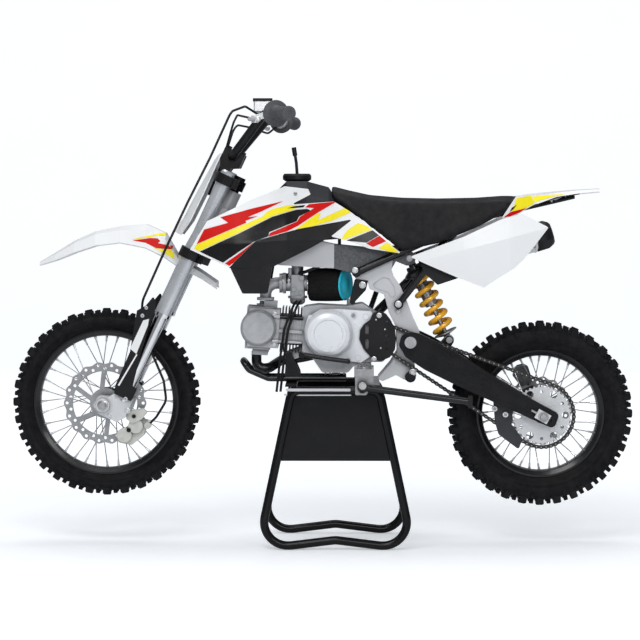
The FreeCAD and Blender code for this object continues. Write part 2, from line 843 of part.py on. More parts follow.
def fender_section(x, z_crown, z_edge, half, wall):
    """Upside-down channel of a fender at one station."""
    outer = [(x, -half, z_edge), (x, -half * 0.86, z_crown - (z_crown - z_edge) * 0.25),
             (x, -half * 0.4, z_crown),
             (x, half * 0.4, z_crown), (x, half * 0.86, z_crown - (z_crown - z_edge) * 0.25),
             (x, half, z_edge)]
    inner = [(p[0], p[1] * (half - wall) / half, p[2] - wall) for p in reversed(outer)]
    return outer + inner


def front_fender():
    """Long high fender under the lower clamp, from its beak to the tail behind the fork."""
    wall = panel_wall
    stations = [
        (-732, 733, 724, 30),
        (-690, 757, 737, 50),
        (-640, 788, 757, 60),
        (-585, 812, 775, 66),
        (-520, 825, 783, 70),
        (-455, 829, 770, 68),
        (-405, 806, 745, 62),
    ]
    front = loft([fender_section(*s, wall) for s in stations])
    return front


def front_fender_tail():
    """Rear of the front fender, narrow enough to pass between the fork legs."""
    wall = panel_wall
    stations = [(-406, 806, 745, 62), (-372, 748, 722, 60), (-310, 708, 690, 58), (-272, 682, 664, 52)]
    tail = loft([fender_section(*s, wall) for s in stations])
    pad = on_fork(block((-fork_leg_lead - 18, -fork_leg_lead + 22), (-30, 30),
                        (lower_clamp_low - 16, lower_clamp_low)))
    return fuse([tail, pad])


def front_axle():
    reach = fork_leg_y + fork_lug_half
    shaft = rod_y(front_axle_x, front_axle_z, -reach - 3, reach + 3, axle_r)
    nuts = [rod_y(front_axle_x, front_axle_z, s * reach, s * (reach + axle_nut_wall), axle_nut_r)
            for s in (-1, 1)]
    return fuse([shaft] + nuts)


def brake_hose():
    """Front brake hose from the right lever, over the number plate, down the left leg to the caliper."""
    over_bar = [Vector(-160, 216, 1112), Vector(-206, 140, 1140), Vector(-238, 30, 1122)]
    along_leg = [(92, -14, 690), (94, -52, 560), (94, -74, 430), (91, -92, 285), (70, -62, 226)]
    to_caliper = [(16, -62, 172), (-44, -78, 120), (-72, -80, 76), (-66, -80, 26), (-56, -80, 0)]
    return tube(over_bar + [fork_point(*p) for p in along_leg + to_caliper], hose_r, hose_bend_r)


def clutch_cable():
    """Clutch cable from the left lever down behind the number plate."""
    return tube([Vector(-167, -239, 1093), Vector(-214, -150, 1106), Vector(-230, -30, 1090),
                 fork_point(58, -14, 690), fork_point(56, -14, 600)], cable_r, hose_bend_r)


def throttle_cable():
    """Throttle cable from the right grip down behind the number plate."""
    return tube([Vector(-124, 262, 1092), Vector(-148, 225, 1070), Vector(-196, 120, 1084),
                 Vector(-228, 30, 1088), fork_point(58, 14, 690), fork_point(56, 14, 600)],
                cable_r, hose_bend_r)


def steering_nodes():
    lower = clamp_plate(lower_clamp_low, lower_clamp_height, outer_tube_r, 36)
    top = clamp_plate(top_clamp_low, top_clamp_height, outer_tube_top_r, 36)
    controls = [lever_set(1, True), lever_set(-1, False), throttle_housing()]
    caliper = on_fork(fuse([front_caliper(), caliper_bracket()]))
    bar = handlebar()
    cords = [cord.cut(controls + [caliper, bar]) for cord in (brake_hose(), clutch_cable(), throttle_cable())]
    return {
        "fork_outer_tubes": Part.makeCompound(fork_leg_tubes()),
        "fork_inner_tubes": Part.makeCompound(fork_inner_tubes()),
        "fork_feet": Part.makeCompound([on_fork(fork_lug(-1)), on_fork(fork_lug(1))]),
        "fork_guards": Part.makeCompound([on_fork(fork_guard(-1)), on_fork(fork_guard(1))]),
        "triple_clamps": fuse([lower, steering_stem(), top]),
        "handlebar_clamps": bar_clamps(),
        "handlebar": bar,
        "grips": Part.makeCompound([grip(-1), grip(1)]),
        "hand_controls": Part.makeCompound(controls),
        "front_number_plate": number_plate(),
        "front_fender": fuse([front_fender(), front_fender_tail()]),
        "front_brake_caliper": caliper,
        "front_axle": front_axle(),
        "hand_cables": Part.makeCompound(cords),
    }


# Frame

def spar(side):
    """Side beam from the head tube back to the pivot plate."""
    outline = [(-268, 842), (-238, 862), (-120, 812), (30, 778), (184, 762), (186, 742), (80, 703), (30, 716),
               (-110, 724), (-200, 752), (-262, 790)]
    return plate(outline, side * spar_inner_y, side * (spar_inner_y + spar_wall), 6.0)


def pivot_plate(side):
    """Cast plate from the spar down past the swingarm pivot to the footpeg bar."""
    outline = [(80, 712), (200, 752), (178, 714), (184, 696), (200, 672), (208, 654), (219, 630),
               (234, 590), (250, 556),
               (252, 515), (238, 470), (243, 438), (228, 422), (208, 430), (190, 440), (156, 424),
               (142, 430), (176, 470),
               (194, 500), (192, 560), (174, 596), (166, 624), (160, 648), (122, 662), (118, 680), (84, 690)]
    face = spar_inner_y + spar_wall - 1
    body = plate(outline, side * (spar_inner_y + 1), side * face, 5.0)
    pocket = [(128, 674), (156, 694), (172, 690), (186, 668), (190, 648), (178, 634), (170, 652), (136, 664)]
    body = body.cut(plate(pocket, side * (face - 3), side * (face + 1), 7.0))
    return body.cut(rod_y(pivot_x, pivot_z, -100, 100, pivot_bolt_r))


def main_frame():
    low, high = lower_clamp_low + lower_clamp_height + head_tube_end_gap, top_clamp_low - head_tube_end_gap
    head = on_fork(Part.makeCylinder(head_tube_r, high - low, Vector(0, 0, low)))
    web = plate([(-300, 800), (-258, 872), (-200, 846), (-215, 770), (-262, 762)], -spar_inner_y,
                spar_inner_y, 5.0)
    rear_bridge = rod_y(212, 600, -spar_inner_y - 1, spar_inner_y + 1, 9)
    shock_mount = plate([(150, 768), (205, 776), (244, 750), (238, 728), (218, 722), (198, 730),
                         (170, 742)], -30, 30, 4.0)
    cross = block((150, 184), (-spar_inner_y, spar_inner_y), (744, 762))
    body = fuse([head, web, spar(-1), spar(1), pivot_plate(-1), pivot_plate(1), cross, shock_mount,
                 rear_bridge])
    bore = on_fork(Part.makeCylinder(stem_r + stem_gap, high - low + 40, Vector(0, 0, low - 20)))
    shock_gap = plate([(130, 700), (210, 790), (300, 790), (300, 690)], -12, 12).common(
        rod_y(shock_top_x, shock_top_z, -12, 12, 34))
    shock_pin = rod_y(shock_top_x, shock_top_z, -40, 40, 5)
    return body.cut([bore, shock_gap, shock_pin])


def subframe():
    """Black rear frame: two rails and two struts, tied by cross tubes."""
    parts = []
    for side in (-1, 1):
        y = side * subframe_y
        rail = tube([(88, y, 706), (215, y, 764), (400, y, 846), (500, y * 0.9, 868)], tube_r, 60)
        strut = rod((196, y, 624), (354, y, 826), tube_r - 1.0)
        bosses = [rod_y(88, 706, side * (spar_inner_y + spar_wall - 1), side * (subframe_y + 12), 12),
                  rod_y(196, 624, side * (spar_inner_y + spar_wall - 1), side * (subframe_y + 12), 12)]
        parts += [rail, strut] + bosses
    for x, z, y in ((300, 805, subframe_y), (490, 866, subframe_y * 0.9)):
        parts.append(rod_y(x, z, -y, y, tube_r - 1))
    return fuse(parts)


def pivot_bolt():
    shaft = rod_y(pivot_x, pivot_z, -pivot_bolt_y, pivot_bolt_y, pivot_bolt_r)
    heads = [rod_y(pivot_x, pivot_z, s * (arm_inner_y + arm_wall), s * pivot_bolt_y, 15) for s in (-1, 1)]
    return fuse([shaft] + heads)


def shock_bolts():
    """Bolts through the damper's two eyes."""
    bolts = []
    for x, z, half in ((shock_low_x, shock_low_z, 20), (shock_top_x, shock_top_z, 30)):
        shaft = rod_y(x, z, -half - 6, half + 6, 5)
        heads = [rod_y(x, z, s * half, s * (half + 6), 8) for s in (-1, 1)]
        bolts.append(fuse([shaft] + heads))
    return bolts


def swingarm():
    """Two deep arms with slots for the axle, a cross tube ahead of the tyre and the shock's lower ears."""
    arms = []
    outer_y = arm_inner_y + arm_wall
    panel = [(262, 536), (350, 488), (498, 393), (530, 374), (520, 352), (420, 396), (337, 434), (268, 470),
             (252, 500)]
    for side in (-1, 1):
        outline = [(196, 520), (203, 545), (226, 556), (250, 550), (288, 532), (352, 497), (500, 404),
                   (556, 372),
                   (608, 344), (594, 306), (532, 333), (419, 384), (335, 422), (262, 458), (214, 490)]
        arm = plate(outline, side * arm_inner_y, side * outer_y, 12.0)
        recess = plate(panel, side * (outer_y - 2.0), side * (outer_y + 1), 10.0)
        arms.append(arm.cut([recess, axle_slot()]))
        arms.append(chain_adjuster(side))
    cross = rod_y(arm_cross_x, arm_cross_z, -arm_inner_y - 1, arm_inner_y + 1, arm_cross_r)
    sleeves = [rod_y(pivot_x, pivot_z, s * (spar_inner_y + spar_wall), s * (arm_inner_y + 1), pivot_bolt_r
                     + 4)
               for s in (-1, 1)]
    ear_outline = [(arm_cross_x - 16, arm_cross_z + 8), (arm_cross_x + 14, arm_cross_z - 12),
                   (shock_low_x + 12, shock_low_z - 5), (shock_low_x + 9, shock_low_z + 8),
                   (shock_low_x - 3, shock_low_z + 12), (shock_low_x - 12, shock_low_z + 4)]
    ears = [plate(ear_outline, *span(s * 12, s * 20), 4.0) for s in (-1, 1)]
    body = fuse(arms + [cross] + sleeves + ears)
    pin = rod_y(shock_low_x, shock_low_z, -40, 40, 5)
    axle = rod_y(rear_axle_x, rear_axle_z, -200, 200, axle_r)
    pivot = rod_y(pivot_x, pivot_z, -200, 200, pivot_bolt_r)
    return body.cut([pin, axle, pivot])


def on_arm_end(shape):
    """Carries a shape drawn along X from the rear axle onto the slope of the arm's end."""
    copy = turned_y(shape, arm_end_slope_deg)
    return moved(copy, rear_axle_x, 0, rear_axle_z)


def axle_slot():
    """Cutter for the slots in which the axle slides to tension the chain."""
    ends = [rod_y(x, 0, -200, 200, axle_r + 1) for x in (-12, 16)]
    middle = block((-12, 16), (-200, 200), (-axle_r - 1, axle_r + 1))
    return on_arm_end(fuse(ends + [middle]))


def chain_adjuster(side):
    """Block on the arm's outer face that holds the axle, with its pull bolt."""
    y = side * (arm_inner_y + arm_wall)
    pad = plate([(-17, -14), (-17, 14), (20, 14), (20, -14)], y, y + side * adjuster_wall, 3.0)
    bolt = rod((-32, y + side * 4.5, 0), (-16, y + side * 4.5, 0), 4.4)
    nut = rod((-27, y + side * 4.5, 0), (-22, y + side * 4.5, 0), 6.0)
    return on_arm_end(fuse([pad, bolt, nut]))


def rear_caliper():
    """Single-piston caliper above the right arm, on a plate that the axle holds against the arm."""
    place = Vector(rear_axle_x, 0, rear_axle_z)
    plate_y = (arm_inner_y - 6, arm_inner_y)
    hanger = plate([(-18, -16), (16, -14), (18, 14), (-16, 84), (-34, 124), (-58, 118), (-44, 66)],
                   *plate_y, 6.0)
    hanger = hanger.cut(rod_y(0, 0, 0, 200, axle_r))
    body = plate([(-14, 78), (-28, 122), (-60, 116), (-66, 92), (-44, 64)], rear_disc_y - 15, plate_y[0], 7.0)
    piston = rod_y(-42, 94, rear_disc_y - 22, rear_disc_y - 14, 15)
    slot = rod_y(0, 0, rear_disc_y - disc_wall / 2 - 2, rear_disc_y + disc_wall / 2 + 2, rear_disc_r + 6)
    return moved(fuse([body, piston]).cut(slot).fuse(hanger), place.x, 0, place.z)


def shock_place():
    low, high = Vector(shock_low_x, 0, shock_low_z), Vector(shock_top_x, 0, shock_top_z)
    return Placement(low, Rotation(Vector(0, 0, 1), high - low)), (high - low).Length


def rear_shock():
    """Damper body, rod, eyes and spring seats."""
    place, length = shock_place()
    seat_r = spring_r + spring_wire_r + 1
    low_seat = revolve_z([(0, 14), (14, 14), (seat_r, spring_low - 9),
                          (seat_r, spring_low - spring_wire_r - 0.4),
                          (0, spring_low - spring_wire_r - 0.4)])
    shaft = Part.makeCylinder(6, 90, Vector(0, 0, spring_low - 8))
    body = Part.makeCylinder(spring_r - spring_wire_r - 3, length - 34 - 104, Vector(0, 0, 100))
    high_seat = revolve_z([(0, spring_high + spring_wire_r + 0.4),
                           (seat_r, spring_high + spring_wire_r + 0.4),
                           (seat_r, spring_high + 14), (20, spring_high + 22), (19, length - 22),
                           (0, length - 22)])
    eyes = []
    for z, half in ((0, 12), (length, 12)):
        eyes.append(Part.makeCylinder(shock_eye_r, 2 * half, Vector(0, -half, z), Vector(0, 1, 0)))
    neck = Part.makeCylinder(10, 26, Vector(0, 0, length - 24))
    foot = Part.makeCylinder(9, 16, Vector(0, 0, 2))
    whole = fuse([low_seat, shaft, body, high_seat, neck, foot] + eyes)
    pins = [Part.makeCylinder(5, 80, Vector(0, -40, z), Vector(0, 1, 0)) for z in (0, length)]
    whole = whole.cut(pins)
    whole.Placement = place
    return whole


def shock_spring():
    place, _ = shock_place()
    pitch = (spring_high - spring_low) / spring_turns
    helix = Part.makeHelix(pitch, spring_high - spring_low, spring_r)
    ring = Part.Wire(Part.Circle(Vector(spring_r, 0, 0), Vector(0, 1, 0), spring_wire_r).toShape())
    solid = Part.Wire(helix).makePipeShell([ring], True, True)
    solid.translate(Vector(0, 0, spring_low))
    solid.Placement = place.multiply(solid.Placement)
    return solid


def rear_axle():
    reach = arm_inner_y + arm_wall + adjuster_wall
    shaft = rod_y(rear_axle_x, rear_axle_z, -reach - 4, reach + 4, axle_r)
    nuts = [rod_y(rear_axle_x, rear_axle_z, s * reach, s * (reach + axle_nut_wall), axle_nut_r)
            for s in (-1, 1)]
    return fuse([shaft] + nuts)


# Chain drive

def chain_line():
    """Tangent points and headings of the two runs between the sprockets' pitch circles."""
    a = Vector(front_sprocket_x, 0, front_sprocket_z)
    b = Vector(rear_axle_x, 0, rear_axle_z)
    ra, rb = pitch_radius(front_teeth), pitch_radius(rear_teeth)
    along = b - a
    slope = math.atan2(-along.z, along.x)
    spread = math.asin((rb - ra) / along.Length)
    return a, b, ra, rb, slope, spread, along.Length


def chain_place(s):
    """Point and heading on the chain loop at a distance s from the front end of the upper run."""
    a, b, ra, rb, slope, spread, reach = chain_line()
    run = reach * math.cos(spread)
    wrap_b, wrap_a = rb * (math.pi + 2 * spread), ra * (math.pi - 2 * spread)
    total = 2 * run + wrap_a + wrap_b
    s = s % total
    up = slope - spread
    normal = Vector(math.sin(up), 0, math.cos(up))
    heading = Vector(math.cos(up), 0, -math.sin(up))
    if s < run:
        return a + normal * ra + heading * s, up
    s -= run
    if s < wrap_b:
        turn = up + s / rb
        return b + Vector(math.sin(turn), 0, math.cos(turn)) * rb, turn
    s -= wrap_b
    back = up + math.pi + 2 * spread
    normal = Vector(math.sin(back), 0, math.cos(back))
    heading = Vector(math.cos(back), 0, -math.sin(back))
    if s < run:
        return b + normal * rb + heading * s, back
    s -= run
    turn = back + s / ra
    return a + Vector(math.sin(turn), 0, math.cos(turn)) * ra, turn


def chain_total():
    _, _, ra, rb, _, spread, reach = chain_line()
    return 2 * reach * math.cos(spread) + ra * (math.pi - 2 * spread) + rb * (math.pi + 2 * spread)


def drive_chain():
    """Closed loop of links: a band of bushes with a wider, higher link at every second pitch."""
    pitch = chain_total() / chain_links
    joints = [chain_place(i * pitch)[0] for i in range(chain_links)]
    half = chain_roller_r * 0.8
    outer, inner = [], []
    for i, p in enumerate(joints):
        before, after = joints[i - 1], joints[(i + 1) % chain_links]
        heading = (after - before).normalize()
        normal = Vector(-heading.z, 0, heading.x)
        outer.append((p.x + normal.x * half, p.z + normal.z * half))
        inner.append((p.x - normal.x * half, p.z - normal.z * half))
    y0, y1 = chain_y - chain_inner_half, chain_y + chain_inner_half
    loops = [plate(points, y0, y1) for points in (outer, inner)]
    loops.sort(key=lambda loop: loop.Volume)
    band = loops[1].cut(loops[0])
    links = []
    for i in range(0, chain_links, 2):
        p, q = joints[i], joints[(i + 1) % chain_links]
        heading = (q - p).normalize()
        rise = Vector(-heading.z, 0, heading.x) * (chain_plate_height / 2)
        reach = heading * chain_plate_reach
        corners = [p - reach - rise, q + reach - rise, q + reach + rise, p - reach + rise]
        outline = [(c.x, c.z) for c in corners]
        links.append(plate(outline, y0 - chain_plate_wall, y1 + chain_plate_wall))
    return band.fuse(links)


def front_sprocket():
    wheel = sprocket(front_teeth, chain_y, 8.0, sprocket_tip(front_teeth))
    wheel.translate(Vector(front_sprocket_x, 0, front_sprocket_z))
    shaft = rod_y(front_sprocket_x, front_sprocket_z, case_left_y, chain_y - 8, 8.0)
    return fuse([wheel, shaft])


def chain_guide():
    """Guide plates round the lower run, hung under the left arm."""
    outline = [(440, 388), (446, 318), (455, 288), (506, 250), (516, 278), (487, 316), (494, 368)]
    outer = plate(outline, chain_y - 12, chain_y - 9, 5.0)
    inner = plate(outline, chain_y + 9, chain_y + 12, 5.0)
    pads = [rod_y(x, z, -arm_inner_y, chain_y + 12, 6) for x, z in ((456, 382), (484, 370))]
    bolts = [rod_y(x, z, chain_y - 16, chain_y + 12, 8) for x, z in ((449, 353), (477, 338))]
    return fuse([outer, inner] + pads + bolts)


def chain_roller():
    x, z = 227, 436.5
    wheel = rod_y(x, z, chain_y - 8, chain_y + 8, 14)
    stub = rod_y(x, z, -spar_inner_y - spar_wall + 1, chain_y - 11, 6)
    cap = rod_y(x, z, chain_y - 8, chain_y - 13, 9)
    return fuse([wheel, stub, cap])


# Engine

def engine_crankcase():
    """Case with its lower bulge, a front mounting lug, cooling ribs underneath and a drain plug."""
    outline = [(-52, 496), (-52, 616), (-10, 622), (60, 618), (104, 626), (132, 606), (172, 584),
               (186, 560), (188, 508),
               (156, 474), (104, 474), (80, 462), (66, 446), (0, 446), (-26, 484)]
    body = plate(outline, case_left_y, case_right_y, 12.0)
    lug = plate([(-46, 516), (-46, 490), (-84, 476), (-97, 481), (-97, 494), (-82, 502)], -guard_y, guard_y,
                3.0)
    ribs = [block((x - 2, x + 2), (-34, 34), (440, 448)) for x in (8, 20, 32, 44, 56)]
    plug = rod((33, 14, 446), (33, 14, 436), 8)
    lifter = rod((74, -20, 616), (74, -20, 636), 11)
    return fuse([body, lug, plug, lifter] + ribs)


def left_cover():
    """Flywheel cover: a round bulge that runs back into a flat wedge."""
    outline = [(-46, 560), (-38, 590), (-6, 610), (40, 612), (126, 606), (133, 592), (112, 574), (96, 548),
               (104, 516),
               (126, 492), (100, 474), (20, 484), (-30, 508), (-45, 534)]
    wedge = plate(outline, case_left_y - 22, case_left_y, 6.0)
    bulge = revolve_y([(case_left_y - 50, 0), (case_left_y - 50, 36), (case_left_y - 52, 38),
                       (case_left_y - 52, 44),
                       (case_left_y - 48, 54), (case_left_y - 40, 59), (case_left_y - 22, 61),
                       (case_left_y - 22, 0)],
                      crank_x, crank_z)
    bosses = [rod_y(x, z, case_left_y - 24, case_left_y - 21, 7) for x,
              z in ((82, 596), (112, 592), (92, 486), (-30, 590))]
    return fuse([wedge, bulge] + bosses)


def right_cover():
    outline = [(-44, 520), (-40, 580), (0, 608), (80, 606), (140, 584), (162, 540), (140, 486), (70, 466),
               (-10, 474)]
    body = plate(outline, case_right_y, case_right_y + 30, 18.0)
    dome = revolve_y([(case_right_y + 30, 0), (case_right_y + 30, 50), (case_right_y + 38, 44),
                      (case_right_y + 38, 0)], 60,
                     540)
    return fuse([body, dome])


def flat_slot(x, z, half, radius):
    """Upright slot-shaped cutter through the sprocket cover, its ends rounded."""
    y0, y1 = chain_y - 15, chain_y - 9
    ends = [rod_y(x, z + s * half, y0, y1, radius) for s in (-1, 1)]
    return fuse(ends + [block((x - radius, x + radius), (y0, y1), (z - half, z + half))])


def sprocket_cover():
    outline = [(122, 584), (130, 602), (148, 608), (164, 600), (176, 584), (187, 560), (190, 535),
               (187, 508), (174, 488),
               (150, 478), (130, 484), (107, 508), (95, 534), (97, 558), (107, 573)]
    holes = [(165, z, 3.6) for z in (578, 560, 543, 526, 508)]
    body = plate(outline, chain_y - 14, chain_y - 10, 7.0, holes)
    slots = [flat_slot(115, z, 8.0, 4.6) for z in (560, 522)]
    posts = [rod_y(x, z, chain_y - 12, case_left_y, 6) for x, z in ((147, 597), (144, 487))]
    return fuse([body] + posts).cut(slots)


def engine_frame(shape):
    """Tips a shape built along -X from the crank up to the cylinder's slope."""
    return turned_y(shape, cylinder_tilt_deg, crank_x, crank_z)


def cylinder():
    """Finned barrel with its cam chain tunnel."""
    start, end = crank_x - 68, crank_x - 128
    core = rod((start + 12, 0, crank_z), (end, 0, crank_z), 40)
    tunnel = block((start + 12, end), (-49, -20), (crank_z - 30, crank_z + 34))
    fins = []
    count = 7
    for i in range(count):
        x = start - 6 - i * (start - end - 12) / (count - 1)
        fins.append(block((x - 1.4, x + 1.4), (-50, 52), (crank_z - 56, crank_z + 60)))
    studs = [rod((start, y, crank_z + z), (end, y, crank_z + z), 5) for y in (-51, 53) for z in (-30, 34)]
    rib = block((start, end), (-55, -48), (crank_z - 6, crank_z + 2))
    return engine_frame(fuse([core, tunnel, rib] + fins + studs))


def hexagon(centre, across_half):
    """Level six-sided face about an (x, y) centre."""
    r = across_half / math.cos(math.pi / 6)
    corners = [Vector(centre[0] + r * math.cos(math.pi / 3 * i), centre[1] + r * math.sin(math.pi / 3 * i), 0)
               for i in range(6)]
    return Part.Face(Part.makePolygon(corners + [corners[0]]))


def cylinder_head():
    start, end = crank_x - 128 - fit_gap, crank_x - 222
    body = block((start, end + 14), (-54, 54), (crank_z - 48, crank_z + 52))
    nose = rod_y(end + 42, crank_z, -54, 54, 48)
    intake = block((start - 10, start - 44), (-22, 22), (crank_z + 50, crank_z + 72))
    exhaust = block((start - 26, start - 66), (-22, 22), (crank_z - 70, crank_z - 46))
    body = fuse([body, nose, intake, exhaust])
    covers = [revolve_y([(s * 54, 0), (s * 54, 46), (s * 61, 45), (s * 66, 40), (s * 66, 0)], end + 40,
                        crank_z + 2)
              for s in (-1, 1)]
    caps = [rod((end + 50, 0, crank_z + s * 40), (end + 50, 0, crank_z + s * 62), 20) for s in (-1, 1)]
    hexes = [hexagon((end + 50, 0), 11).extrude(Vector(0, 0, s * 8)) for s in (-1, 1)]
    hexes = [moved(h, 0, 0, crank_z + s * 62) for h, s in zip(hexes, (-1, 1))]
    ribs = [block((end + 8, end + 74), (y - 2, y + 2), (crank_z - 54, crank_z + 56))
            for y in (-44, -32, 32, 44)]
    posts = [rod((start, y, crank_z + z), (start - 16, y, crank_z + z), 7) for y in (-51, 51)
             for z in (-30, 34)]
    return engine_frame(fuse([body] + covers + caps + hexes + ribs + posts))


def intake_manifold():
    """Cast elbow from the head to the carburettor, with a flange at each end."""
    elbow = tube([(-148, 0, 632.5), (-148, 0, 676), (-100, 0, 676)], 15, 30)
    foot = flat([(-170, -24), (-126, -24), (-126, 24), (-170, 24)], 632.5, 639.0, 8.0)
    return fuse([elbow, foot, rod((-112, 0, 676), (-104, 0, 676), 25),
                 rod((-103, 0, 676), (-95, 0, 676), 27)])


def carburettor():
    """Slide carburettor: throat, body, float bowl, slide tower with its cap and choke."""
    throat = rod((-96, 0, 676), (-38, 0, 676), 21)
    body = block((-84, -46), (-22, 22), (642, 698))
    body = body.makeFillet(5.0, upright_edges(body))
    bowl = revolve_z([(0, 620), (11, 620), (18, 624), (20, 629), (20, 637), (25, 637), (25, 643), (0, 643)])
    slide = rod((-65, 0, 698), (-65, 0, 722), 15)
    cap = rod((-65, 0, 720), (-65, 0, 730), 17)
    guide = rod((-65, 0, 729), (-65, 0, 744), 4)
    screws = [rod_y(x, z, -28, -20, r) for x, z, r in ((-74, 660, 5), (-56, 652, 4), (-54, 690, 6))]
    choke = rod((-84, -14, 690), (-84, -14, 716), 5)
    return fuse([throat, body, moved(bowl, -65), slide, cap, guide, choke] + screws)


def air_filter():
    """Foam filter drum on the carburettor's mouth, with a coloured end plate."""
    drum = revolve_z([(0, 0), (24, 0), (40, 10), (43, 16), (43, 92), (40, 98), (0, 98)])
    drum.Placement = Placement(Vector(-37.7, 0, 672), Rotation(Vector(0, 0, 1), Vector(1, 0, 0)))
    return drum


def filter_cap():
    cap = revolve_z([(0, 0), (37, 0), (37, 7), (33, 10), (0, 10)])
    cap.Placement = Placement(Vector(60.0, 0, 672), Rotation(Vector(0, 0, 1), Vector(1, 0, 0)))
    return cap


def exhaust_pipe():
    """Header from under the head, out to the right side and up to the silencer."""
    points = [(-172, 0, 500), (-172, 0, 454), (-140, 0, 454), (-110, 60, 470), (-56, 110, 474),
              (60, 110, 500),
              (150, 112, 600), (230, 128, 678), (322, 148, 716)]
    return tube(points, 13, 34)


def silencer():
    start, end = Vector(322, 148, 716), Vector(592, 166, 806)
    along = (end - start).normalize()
    shape = revolve_z([(0, 0), (22, 0), (37, 26), (37, 214), (0, 214)])
    shape.Placement = Placement(start, Rotation(Vector(0, 0, 1), along))
    cap = revolve_z([(0, 213), (40, 213), (40, 262), (24, 284), (14, 284), (14, 240), (0, 240)])
    cap.Placement = Placement(start, Rotation(Vector(0, 0, 1), along))
    return shape, cap


def shift_lever():
    shaft = rod_y(66, 480, case_left_y - 22.3, -112, 6)
    lever = tube([(66, -106, 480), (20, -110, 486), (-52, -112, 498)], 6, 20)
    peg = rod_y(-52, 498, -150, -108, 8)
    return fuse([shaft, lever, peg])


def kick_starter():
    shaft = rod_y(122, 530, case_right_y + 30, 148, 10)
    arm = tube([(122, 139, 530), (126, 142, 600), (150, 146, 668)], 7, 40)
    pedal = rod((150, 138, 668), (156, 204, 668), 9)
    return fuse([shaft, arm, pedal])


def engine_guard():
    """U-shaped bar under the engine, turned up ahead of it."""
    y, z = guard_y, stand_top_z + fit_gap + guard_tube_r
    left = [(62, -y, z), (-140, -y, z), (-190, -y, 452), (-206, -y, 474)]
    right = [(px, -py, pz) for px, py, pz in reversed(left)]
    return tube(left + right, guard_tube_r, 24)


def engine_bracket():
    """Plate that ties the front of the engine to the guard bar."""
    outline = [(-94, 498), (-80, 498), (-58, 446), (-56, 432), (-98, 432), (-97, 446)]
    plates = [plate(outline, *span(s * guard_y, s * (guard_y + 5)), 4.0) for s in (-1, 1)]
    bolts = [rod_y(x, z, -guard_y - 10, guard_y + 10, 5) for x, z in ((-88, 489), (-86, 466))]
    return fuse(plates + bolts)


# Footpegs, side stand and brake pedal

def footpeg_bar():
    """Cross plate under the engine with an upright bracket at each end."""
    z = stand_top_z + fit_gap
    bar = block((84, 128), (-158, 158), (z, z + 12))
    ends = [plate([(84, z - 24), (112, z - 24), (130, z + 6), (130, z + 34), (84, z + 34)],
                  *span(s * 158, s * footpeg_bracket_y), 4.0)
            for s in (-1, 1)]
    return fuse([bar] + ends)


def footpeg(side):
    """Open peg frame with teeth along its top."""
    y0, y1 = span(side * 165, side * 244)
    x0, x1, z0, z1 = 82.0, 130.0, 452.0, 470.0
    frame = block((x0, x1), (y0, y1), (z0, z1))
    gap = block((x0 + 6, x1 - 6), (y0 + 8, y1 - 6), (z0 - 1, z1 + 1))
    rib = block((x0 + 21, x1 - 21), (y0, y1), (z0, z1))
    body = fuse([frame.cut(gap), rib])
    teeth = []
    for i in range(7):
        y = y0 + 7 + i * (y1 - y0 - 14) / 6
        for x in (x0, x1 - 6):
            teeth.append(block((x, x + 6), (y - 3, y + 3), (z1, z1 + 5)))
    return fuse([body] + teeth)


def rear_brake_pedal():
    pivot = rod_y(104, 470, case_right_y + 30, 142, 8)
    arm = tube([(104, 136, 470), (30, 136, 478), (-40, 138, 498)], 6, 40)
    pad = block((-62, -32), (128, 164), (494, 503))
    return fuse([pivot, arm, pad])


def on_stand_hinge(shape):
    """Carries a shape whose hinge line is the local Y axis onto the prop's tilted pivot."""
    copy = shape.copy()
    pivot = Vector(side_stand_x, side_stand_y, side_stand_z)
    copy.Placement = Placement(pivot, Rotation(Vector(1, 0, 0), side_stand_axis_deg)).multiply(copy.Placement)
    return copy


def side_stand():
    """Folded prop: eye at its pivot, leg and foot."""
    drop = math.radians(side_stand_drop_deg)
    start = Vector(side_stand_x, side_stand_y, side_stand_z)
    along = Vector(math.cos(drop), 0, -math.sin(drop))
    end = start + along * side_stand_length
    leg = rod(start + along * 8, end, side_stand_r)
    eye = on_stand_hinge(rod_y(0, 0, -side_stand_r, side_stand_r, 13))
    foot = block((end.x - 6, end.x + 4), (side_stand_y - 16, side_stand_y + 16), (end.z - 15, end.z + 15))
    bore = on_stand_hinge(rod_y(0, 0, -30, 30, side_stand_bolt_r + fit_gap))
    return fuse([leg, eye, foot]).cut(bore)


def side_stand_bolt():
    """Bolt of the prop's hinge, from its head to the footpeg bracket."""
    low, high = -side_stand_r - side_stand_side_gap, side_stand_r + side_stand_side_gap
    shaft = on_stand_hinge(rod_y(0, 0, low - 1, high + 12, side_stand_bolt_r))
    head = on_stand_hinge(rod_y(0, 0, low - 6, low, 10))
    shoulder = on_stand_hinge(rod_y(0, 0, high, high + 12, 9))
    bracket_face = -footpeg_bracket_y
    beyond = block((0, 200), (bracket_face, bracket_face + 60), (300, 600))
    return fuse([shaft, head, shoulder]).cut(beyond)


# Bodywork

def body_shell(stations, wall):
    """Hollow side skin: each station is (x, [(half width, z), ...]) from its top down, for the left side."""
    def solid(shift):
        sections = []
        for x, points in stations:
            rim_points = [(x, -(w - shift), z) for w, z in points]
            sections.append([(x, 0, points[0][1])] + rim_points + [(x, 0, points[-1][1])])
        return loft(sections)
    return solid(0.0).cut(solid(wall))


SHROUD_STATIONS = [
    (-350, [(106, 960), (124, 860), (131, 780), (124, 600)]),
    (-220, [(88, 960), (124, 862), (137, 780), (127, 600)]),
    (-90, [(66, 960), (100, 880), (134, 790), (118, 600)]),
    (40, [(64, 960), (84, 880), (108, 790), (100, 600)]),
    (230, [(84, 960), (90, 860), (94, 760), (90, 600)]),
]


